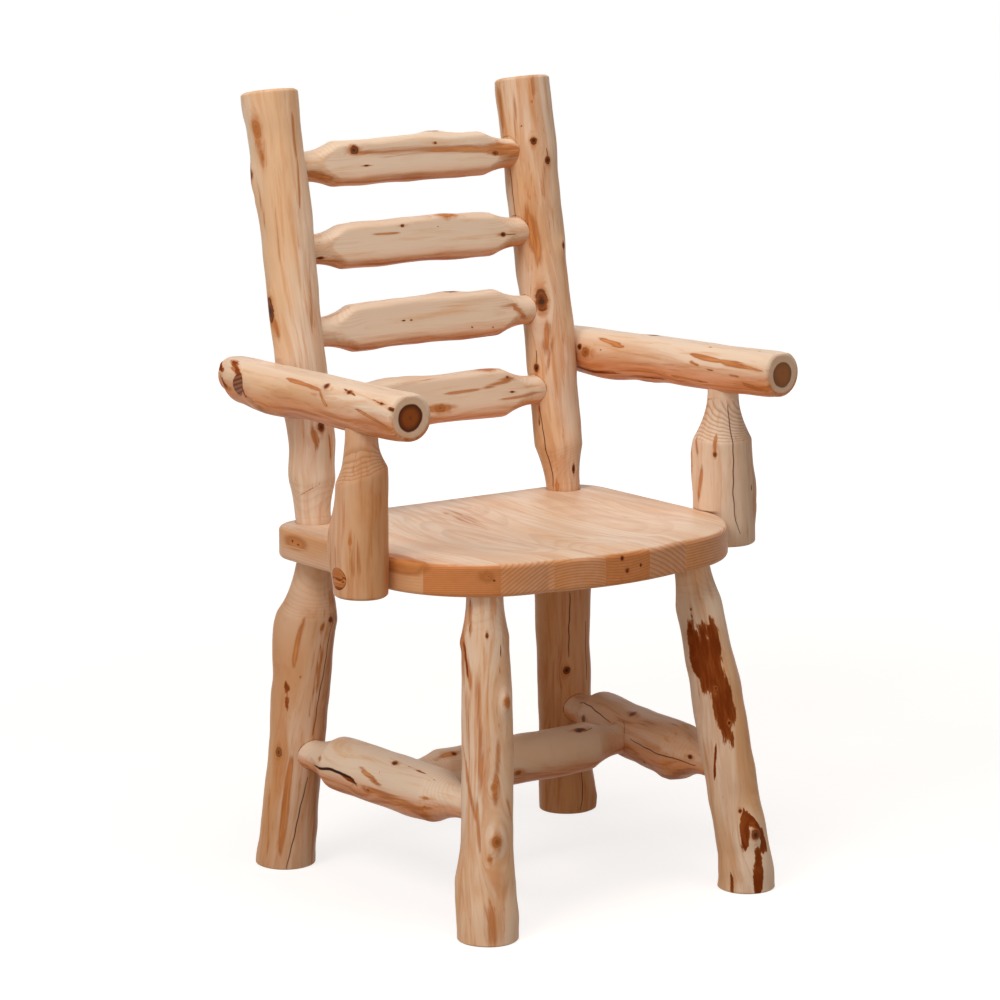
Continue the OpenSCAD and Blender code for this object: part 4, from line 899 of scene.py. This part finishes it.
class Nodes:
    """Writes the nodes of a material or of the world one after another."""

    def __init__(self, owner, shader="Principled BSDF"):
        owner.use_nodes = True
        self.owner, self.tree = owner, owner.node_tree
        self.shader = self.tree.nodes[shader]

    def add(self, kind, inputs, out=0, **settings):
        """Adds a node, feeds its inputs and gives one of its outputs."""
        node = self.tree.nodes.new(kind)
        for key, value in settings.items():
            setattr(node, key, value)
        for key, value in inputs.items():
            self.feed(node.inputs[key], value)
        return Value(self, node.outputs[out])

    def feed(self, socket, value):
        """Links a worked-out value to an input, or gives the input a plain number, direction or colour."""
        if isinstance(value, Value):
            self.tree.links.new(value.socket, socket)
        else:
            socket.default_value = (*value, 1.0) if socket.type == "RGBA" else value

    def shade(self, inputs):
        """Feeds the last node, the one that makes the surface, and gives what the nodes belong to."""
        for key, value in inputs.items():
            self.feed(self.shader.inputs[key], value)
        return self.owner

    def attribute(self, name):
        """The three numbers of a point attribute of the mesh."""
        whole = self.add("ShaderNodeAttribute", {}, "Vector", attribute_name=name)
        parts = self.add("ShaderNodeSeparateXYZ", {0: whole}).socket.node.outputs
        return [Value(self, part) for part in parts]

    def maths(self, operation, a, b=0.0):
        """One sum of two numbers, such as their product or the larger of them."""
        return self.add("ShaderNodeMath", {0: a, 1: b}, operation=operation)

    def noise(self, place, scale, stretch=1, detail=3.0, rough=.5, warp=0.0):
        """Soft random spots between 0 and 1; a stretch below 1 draws them out along the grain."""
        at = self.add("ShaderNodeVectorMath", {0: place, 1: (1, 1, stretch)}, operation="MULTIPLY")
        return self.add("ShaderNodeTexNoise", {"Vector": at, "Scale": scale, "Detail": detail,
                                               "Roughness": rough, "Distortion": warp})

    def step(self, value, lo, hi, to_lo=0.0, to_hi=1.0):
        """Goes from to_lo to to_hi while the value goes from lo to hi, level at both ends."""
        ends = {"From Min": lo, "From Max": hi, "To Min": to_lo, "To Max": to_hi}
        return self.add("ShaderNodeMapRange", {"Value": value, **ends}, interpolation_type="SMOOTHSTEP")

    def fade(self, value, lo, hi):
        """Falls from 1 to 0 while the value goes from lo to hi."""
        return self.step(value, lo, hi, 1.0, 0.0)

    def mix(self, share, a, b):
        """Colour a with a share of colour b."""
        return self.add("ShaderNodeMix", {0: share, 6: a, 7: b}, 2, data_type="RGBA", clamp_factor=True)

    def lay(self, share, over):
        """Lays a colour over the coat that is there, as far as share says."""
        self.coat = self.mix(share, self.coat, over)

    def bump(self, height, depth, strength):
        """A direction for the surface that follows a height."""
        return self.add("ShaderNodeBump", {"Height": height, "Distance": depth, "Strength": strength})

    def seen(self):
        """1 for rays that end in the picture: the camera's own, and those in glossy or clear surfaces."""
        camera, glossy, clear = (self.add("ShaderNodeLightPath", {}, "Is %s Ray" % kind)
                                 for kind in ("Camera", "Glossy", "Transmission"))
        return self.maths("MAXIMUM", camera, self.maths("MAXIMUM", glossy, clear))


def wood_material(name, ring_mm=1.5, ring_dark=.5, heart=0.0, deep=0.0, pale_and_highlight=0.0, streaks=.7, crisp=.45,
                  wobble_mm=3.0, ribs=0.0, grey_heart=0.0):
    """Varnished softwood: soft tan areas, streaks, growth rings where it is cut, knots, bark and checks, with
    painted shade and painted highlight.
    """
    c = bpy.context.scene.log_colours
    n = Nodes(bpy.data.materials.new(name))
    grain = n.add("ShaderNodeAttribute", {}, "Vector", attribute_name="grain")
    around, dark, tail = n.attribute("knot")
    depth, bark, rich = n.attribute("ring")
    off, wide, gap = n.attribute("mark")
    cut, cap, share = n.attribute("cut")
    shade_and_end_warmth, show, light = n.attribute("tone")
    # sapwood: broad soft areas, then long streaks, flecks of inner bark, fibres
    sides = n.step(cap, 0.0, 1.0, 1.0, .2)
    amount = sides * streaks
    broad = n.noise(grain, 12.0, .3, 3.0, .5, .3)
    areas = n.noise(grain, 36.0, .12, 4.0, .58, .7)
    streak = n.noise(grain, 110.0, .08, 4.0, .62, .3) * sides + cap * .4
    fleck = n.noise(grain, 210.0, .13, 3.0, .6, .4)
    fibre = n.noise(grain, 420.0, .022, 3.0, .6)
    n.coat = n.mix(n.step(broad, .36, .58), c.pale, c.cream)
    n.lay(n.step(areas, .46, .62) * (amount * .8), c.warm)
    n.lay(n.step(streak, .52, .70) * (amount * .9), c.amber)
    n.lay(n.step(fleck, .60, .70) * (n.step(areas, .42, .60) * amount * .85), c.orange)
    n.lay(n.step(fibre, .45, .80) * .16, c.orange)
    # painted highlight: paler cream on tops, lit logs, lit swellings and planed faces; on the seat, on the
    # faces away from the edges
    n.lay(light + pale_and_highlight, n.mix(n.step(streak, .5, .78), c.cream, c.pale))
    # painted shade: darker, more orange wood on logs that lie in shade; the plugs take it too
    n.lay(deep, n.mix(n.step(streak, .4, .7), c.warm, c.orange))
    # painted shade: orange on the sides of logs that look down; on the seat, its warm end grain
    n.lay(shade_and_end_warmth * n.step(streak, .30, .66, .6, 1.0), n.mix(n.step(streak, .4, .7), c.underside, c.orange))
    n.lay(cap * .2, c.warm)
    # growth rings
    wobble = n.noise(grain, 34.0, .16, 2.0)
    saw = n.maths("FRACT", depth * (1000 / ring_mm) + wobble * (wobble_mm / ring_mm))
    line = n.step(saw, .35, .90) * n.fade(saw, .93, 1.0)
    ringed = cut * show * ring_dark
    n.lay(line * ringed, c.late)
    # orange heartwood and resin
    edge = (n.noise(grain, 130.0, .06, 4.0, .62, .3) - .5) * n.step(cap, 0.0, 1.0, 1.5, .4)
    n.lay(n.step(rich, .15, .9) * .5, c.warm)
    field = rich + edge
    rich_wood = n.mix(n.step(streak, .40, .62), c.amber, n.mix(.25, c.orange, c.resin))
    rich_wood = n.mix(n.step(field, .58, .84), n.mix(.5, c.orange, c.resin), rich_wood)
    n.lay(n.step(field, .54 - crisp / 2, .54 + crisp / 2) * .9, rich_wood)
    # bark left on
    ragged = bark + (n.noise(grain, 120.0, .25, 5.0, .65) - .5) * .9
    shell = n.step(ragged, .42, .50)
    rusty = n.mix(n.step(n.noise(grain, 170.0, .2, 4.0, .6), .42, .72), c.bark, c.rust)
    n.lay(shell, n.mix(n.step(ragged, .62, .44), rusty, c.resin))
    # knots
    around = around + (n.noise(grain, 150.0, .8, 3.0) - .5) * .9
    across = n.maths("SQRT", n.maths("MAXIMUM", around * around - tail * tail, 0.0))
    n.lay(n.fade(across, .3, 1.0) * n.step(n.maths("ABSOLUTE", tail), .8, 3.0, .6, 0.0), c.orange)
    n.lay(n.fade(around, .9, 1.7) * .75, n.mix(dark, c.warm, c.orange))
    ringlets = n.step(n.maths("SINE", around * 13.0), -.8, .9, .2, .8)
    soft = n.mix(ringlets, c.orange, n.mix(.5, c.warm, c.orange))
    hard = n.mix(n.step(around, .35, 1.0), c.knot, n.mix(.5, c.rust, c.resin))
    n.lay(n.fade(around, .80, 1.04), n.mix(n.step(dark, .1, .9), soft, hard))
    part = n.step(n.noise(grain, 90.0, 1, 1.0), .38, .58)
    rim = n.step(around, .70, .92) * n.fade(around, .96, 1.12)
    ink = n.maths("MAXIMUM", rim * part, n.fade(around, .2, .45))
    n.lay(ink * n.step(dark, 0.0, 1.0, 0.0, .9), c.check)
    # the sawn ends
    if heart:
        ends = share + (wobble - .5) * .16
        core = n.mix(n.step(ends, heart * .45, heart * .95), n.mix(.25, c.rust, c.resin), c.knot)
        core = n.mix(grey_heart, core, n.mix(n.step(broad, .4, .6), c.grey_heart, c.pale_heart))
        n.lay(n.fade(ends, heart - .03, heart + .02) * cap, n.mix(line * .45, core, c.knot))
        n.lay(n.fade(share, .03, .09) * cap * .9, c.check)
    # checks and joints
    beyond = n.maths("ABSOLUTE", off) - wide
    split, seam = n.fade(beyond, 0.0, .35), n.fade(gap, .1, 1.3)
    n.lay(n.fade(beyond, 0.0, 1.6) * .35, c.resin)
    n.lay(split, c.check)
    n.lay(seam * .6, c.knot)
    # the plugs: one dark with ribs, the others with spots
    if ribs:
        n.lay(n.step(bark, .24, .28, 0.0, .85), c.plug)
        n.lay(n.step(saw, .4, .6) * n.step(bark, .24, .28, 0.0, ribs), c.knot)
        n.lay(n.step(fleck, .55, .60) * n.step(bark, .24, .28, .9, 0.0), c.bark)
    rough = fibre * .14 + .36 + n.maths("MAXIMUM", shell, split) * .3
    height = fibre * .35 + line * (ringed * .5) - n.maths("MAXIMUM", split, seam) * 1.5
    height = height + shell * .5 - rim * .5
    return n.shade({"Base Color": n.coat, "Roughness": rough, "Normal": n.bump(height, .0004, .5),
                    "Specular IOR Level": .08})


def steel_material():
    """Bright turned steel for the lag screws and washers, with fine tool lines."""
    steel = bpy.context.scene.log_colours.steel
    n = Nodes(bpy.data.materials.new("zinc_plated_steel"))
    place = n.add("ShaderNodeTexCoord", {}, "Object")
    turned = n.add("ShaderNodeVectorMath", {0: place, 1: (.05, 1, 1)}, operation="MULTIPLY")
    lines = n.noise(turned, 900.0)
    return n.shade({"Base Color": n.mix(n.noise(place, 120.0), steel, steel * .8), "Metallic": 1.0,
                    "Roughness": lines * .2 + .25, "Normal": n.bump(lines, .0001, .3)})


def floor_material():
    """A white floor that keeps the chair's shadow and shows as plain white elsewhere."""
    n = Nodes(bpy.data.materials.new("white_floor"))
    place = n.add("ShaderNodeTexCoord", {}, "Object")
    length = n.add("ShaderNodeVectorMath", {0: place}, "Value", operation="LENGTH")
    return n.shade({"Base Color": n.mix(n.noise(place, 3.0, 1, 2.0), (.42, .38, .34), (.43, .39, .35)),
                    "Roughness": .9, "Specular IOR Level": 0.0, "Emission Color": (1, 1, 1),
                    "Emission Strength": n.seen() * n.step(length, .8, 3.0, .78, .98)})


# ---------------------------------------------------------------- settings

def colour(name, what, value):
    """A colour that a user may change."""
    return FloatVectorProperty(name=name, description=what, default=value, size=3, subtype="COLOR", min=0,
                               max=1)


class LogSizes(PropertyGroup):
    """Sizes that a user may change."""
    sides: IntProperty(name="Sides", description="Points round each log", default=88, min=24, max=160)
    ring_step: FloatProperty(name="Ring step", description="Distance between a log's rings of points",
                             default=.0018, min=.001, max=.01, unit="LENGTH", precision=4)
    unevenness: FloatProperty(name="Unevenness", description="How far a peeled log swells and dips",
                              default=.0010, min=0, max=.003, unit="LENGTH", precision=4)
    edge_round: FloatProperty(name="Seat edge", description="Rounding along the seat's edges",
                              default=.006, min=.002, max=.009, unit="LENGTH", precision=4)
    lamp: FloatProperty(name="Lamp power", description="Power that each lamp has its share of", default=54,
                        min=5, max=200, unit="POWER")


class LogColours(PropertyGroup):
    """Colours of the wood and the metal."""
    pale: colour("Sapwood", "Pale wood just under the bark", (.80, .48, .26))
    # cream is also the colour of the painted highlight
    cream: colour("Cream", "Palest streaks", (.87, .662, .49))
    warm: colour("Tan", "Broad tan areas", (.64, .285, .11))
    amber: colour("Amber", "Long streaks and the lighter heartwood", (.68, .27, .08))
    orange: colour("Orange", "Orange streaks and halos round the knots", (.53, .165, .038))
    # painted shade: the orange on log sides that look down; on seat boards, also their warm end grain
    underside: colour("Underside", "Warm wood on the sides that look down", (.78, .265, .085))
    resin: colour("Resin", "Deep orange of resin and inner bark", (.36, .095, .018))
    late: colour("Ring line", "Dark line of each growth ring", (.44, .18, .06))
    knot: colour("Knot", "Middle of a knot", (.085, .018, .004))
    rust: colour("Rust", "Red-brown of knots and inner bark", (.30, .070, .011))
    bark: colour("Bark", "Inner bark left on", (.205, .035, .003))
    check: colour("Check", "Drying checks and joint lines", (.03, .012, .006))
    grey_heart: colour("Grey heart", "Darker part of a weathered heart", (.28, .11, .04))
    pale_heart: colour("Pale heart", "Paler part of a weathered heart", (.44, .21, .085))
    plug: colour("Plug", "Wood of the dark plug", (.27, .075, .022))
    steel: colour("Steel", "Lag screws and washers", (.55, .55, .54))


# ---------------------------------------------------------------- operators

# How each log's wood differs: painted shade (darker and more orange) on logs that lie in shade, painted
# highlight (paler) on lit ones, or streakier.
LOOKS = {
    "rear_leg_left": {"deep": .85},
    "rear_leg_right": {"deep": .38},
    "front_leg_left": {"deep": .06, "streaks": .5},
    "front_leg_right": {"deep": .14, "streaks": .7},
    "side_stretcher_left": {"deep": .44},
    "side_stretcher_right": {"pale_and_highlight": .85, "streaks": .5},
    "cross_stretcher": {"deep": .12},
    "back_post_left": {"deep": .08},
    "back_post_right": {"pale_and_highlight": .14, "streaks": .55},
    "back_slat_1": {"pale_and_highlight": .12, "streaks": .6},
    "back_slat_2": {"pale_and_highlight": .05, "streaks": .6},
    "back_slat_3": {"pale_and_highlight": .05, "streaks": .6},
    "back_slat_4": {"pale_and_highlight": .05, "streaks": .6},
    "arm_left": {"heart": .52, "crisp": .2, "pale_and_highlight": .15, "grey_heart": .5},
    "arm_right": {"heart": .54, "crisp": .2, "pale_and_highlight": .10},
    "arm_upright_left": {"pale_and_highlight": .2, "streaks": .4},
    "arm_upright_right": {"deep": .52},
}
# The lamps: place, width, share of the lamp power. All look at the middle of the chair.
LAMPS = {
    "key": ((-2.7, -.9, 2.9), 1.3, .84),
    "top": ((-.1, -.3, 3.6), 1.6, .88),
    "side": ((-3.4, .6, 1.2), 1.8, .36),
    "front": ((-2.0, -2.9, 1.0), 1.8, .37),
    "right": ((1.5, -2.7, 1.2), 1.8, .15),
    "back": ((1.6, 3.0, 2.2), 2.0, .15),
}
LAMP_AIM = (0, 0, .5)
ROOM_TINT, ROOM_LIGHT = (1, .76, .56), .09
FLOOR_SIZE = 30.0
CAMERA_PLACE, CAMERA_TURN, CAMERA_LENS = (-2.8252, -3.8416, 1.3798), (79.427, 0, -36.1824), 135.618


class Step(Operator):
    """Shared settings of the steps."""
    bl_options = {"REGISTER", "UNDO"}

    def build(self, *names):
        """Builds the named logs, each with its own wood."""
        logs = make_logs()
        for name in names:
            logs[name].build(wood_material(name + "_wood", **LOOKS[name]), "log_wood")
        return {"FINISHED"}


class LOGCHAIR_OT_legs(Step):
    """Builds the four legs from the floor to their tenons in the seat"""
    bl_idname = "logchair.legs"
    bl_label = "Legs"

    def execute(self, context):
        return self.build("front_leg_left", "front_leg_right", "rear_leg_left", "rear_leg_right")


class LOGCHAIR_OT_stretchers(Step):
    """Builds the two side stretchers and the cross stretcher between them"""
    bl_idname = "logchair.stretchers"
    bl_label = "Stretchers"

    def execute(self, context):
        return self.build("side_stretcher_left", "side_stretcher_right", "cross_stretcher")


class LOGCHAIR_OT_back(Step):
    """Builds the two back posts and the four slats between them"""
    bl_idname = "logchair.back"
    bl_label = "Back"

    def execute(self, context):
        return self.build("back_post_left", "back_post_right", *("back_slat_%d" % i for i in SLATS))


class LOGCHAIR_OT_arms(Step):
    """Builds the two arms and the uprights under them"""
    bl_idname = "logchair.arms"
    bl_label = "Arms"

    def execute(self, context):
        return self.build("arm_left", "arm_right", "arm_upright_left", "arm_upright_right")


class LOGCHAIR_OT_seat(Step):
    """Builds the eight boards of the hollowed seat"""
    bl_idname = "logchair.seat"
    bl_label = "Seat"

    def execute(self, context):
        for number, board in enumerate(BOARDS, 1):
            wood = wood_material("seat_board_%d_wood" % number, ring_mm=board[4], ring_dark=.75,
                                 wobble_mm=.8, streaks=.6)
            build_board(number, wood)
        return {"FINISHED"}


class LOGCHAIR_OT_fasteners(Step):
    """Builds the wooden plugs and finishes the steel under them"""
    bl_idname = "logchair.fasteners"
    bl_label = "Plugs and screws"

    def execute(self, context):
        wood = wood_material("plug_wood", ring_mm=6.0, deep=.5, crisp=.3, ribs=.85, wobble_mm=1.0)
        build_plugs(make_logs(), wood)
        steel = steel_material()
        for node in ("lag_screws", "lag_washers"):
            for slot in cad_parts[node].material_slots:
                slot.material = steel
        return {"FINISHED"}


class LOGCHAIR_OT_stage(Operator):
    """Sets the white floor, the soft lamps and the camera"""
    bl_idname = "logchair.stage"
    bl_label = "Stage"

    def execute(self, context):
        scene = context.scene
        corners = np.array([[-1, -1, 0], [1, -1, 0], [1, 1, 0], [-1, 1, 0]]) * FLOOR_SIZE / MM
        square, no_tris = np.array([[0, 1, 2, 3]]), np.zeros((0, 3), int)
        floor = put_mesh("floor", corners, square, no_tris, {}, floor_material())
        n = Nodes(bpy.data.worlds.new("white_room"), "Background")
        seen = n.seen()
        scene.world = n.shade({"Color": n.mix(seen, ROOM_TINT, (1, 1, 1)),
                               "Strength": n.step(seen, 0.0, 1.0, ROOM_LIGHT, 1.0)})
        for name, (place, wide, share) in LAMPS.items():
            lamp = bpy.data.lights.new(name, "AREA")
            lamp.shape, lamp.size, lamp.size_y = "RECTANGLE", wide, wide
            lamp.energy = scene.log_sizes.lamp * share
            thing = bpy.data.objects.new(name, lamp)
            thing.location = place
            thing.rotation_euler = (Vector(LAMP_AIM) - Vector(place)).to_track_quat("-Z", "Y").to_euler()
            scene.collection.objects.link(thing)
        lens = bpy.data.cameras.new("camera")
        lens.lens, lens.sensor_width = CAMERA_LENS, 36.0
        lens.clip_start, lens.clip_end = .1, 100
        camera = bpy.data.objects.new("camera", lens)
        camera.location = CAMERA_PLACE
        camera.rotation_euler = Euler(np.radians(CAMERA_TURN))
        scene.collection.objects.link(camera)
        scene.camera = camera
        scene.view_settings.view_transform = "Standard"
        return {"FINISHED"}


STEPS = (LOGCHAIR_OT_seat, LOGCHAIR_OT_legs, LOGCHAIR_OT_stretchers, LOGCHAIR_OT_back, LOGCHAIR_OT_arms,
         LOGCHAIR_OT_fasteners, LOGCHAIR_OT_stage)


class LOGCHAIR_PT_panel(Panel):
    """Lists the steps and the settings"""
    bl_label = "Log chair"
    bl_idname = "LOGCHAIR_PT_panel"
    bl_space_type = "VIEW_3D"
    bl_region_type = "UI"
    bl_category = "Log chair"

    def draw(self, context):
        layout = self.layout
        for step in STEPS:
            layout.operator(step.bl_idname)
        for group in (context.scene.log_sizes, context.scene.log_colours):
            for key in group.bl_rna.properties.keys():
                if key not in ("rna_type", "name"):
                    layout.prop(group, key)


CLASSES = (LogSizes, LogColours) + STEPS + (LOGCHAIR_PT_panel,)


def register():
    for cls in CLASSES:
        bpy.utils.register_class(cls)
    bpy.types.Scene.log_sizes = PointerProperty(type=LogSizes)
    bpy.types.Scene.log_colours = PointerProperty(type=LogColours)


def unregister():
    del bpy.types.Scene.log_sizes
    del bpy.types.Scene.log_colours
    for cls in reversed(CLASSES):
        bpy.utils.unregister_class(cls)


def main():
    """Builds the chair and its stage."""
    register()
    for step in STEPS:
        group, name = step.bl_idname.split(".")
        getattr(getattr(bpy.ops, group), name)()


if __name__ == "__main__":
    main()
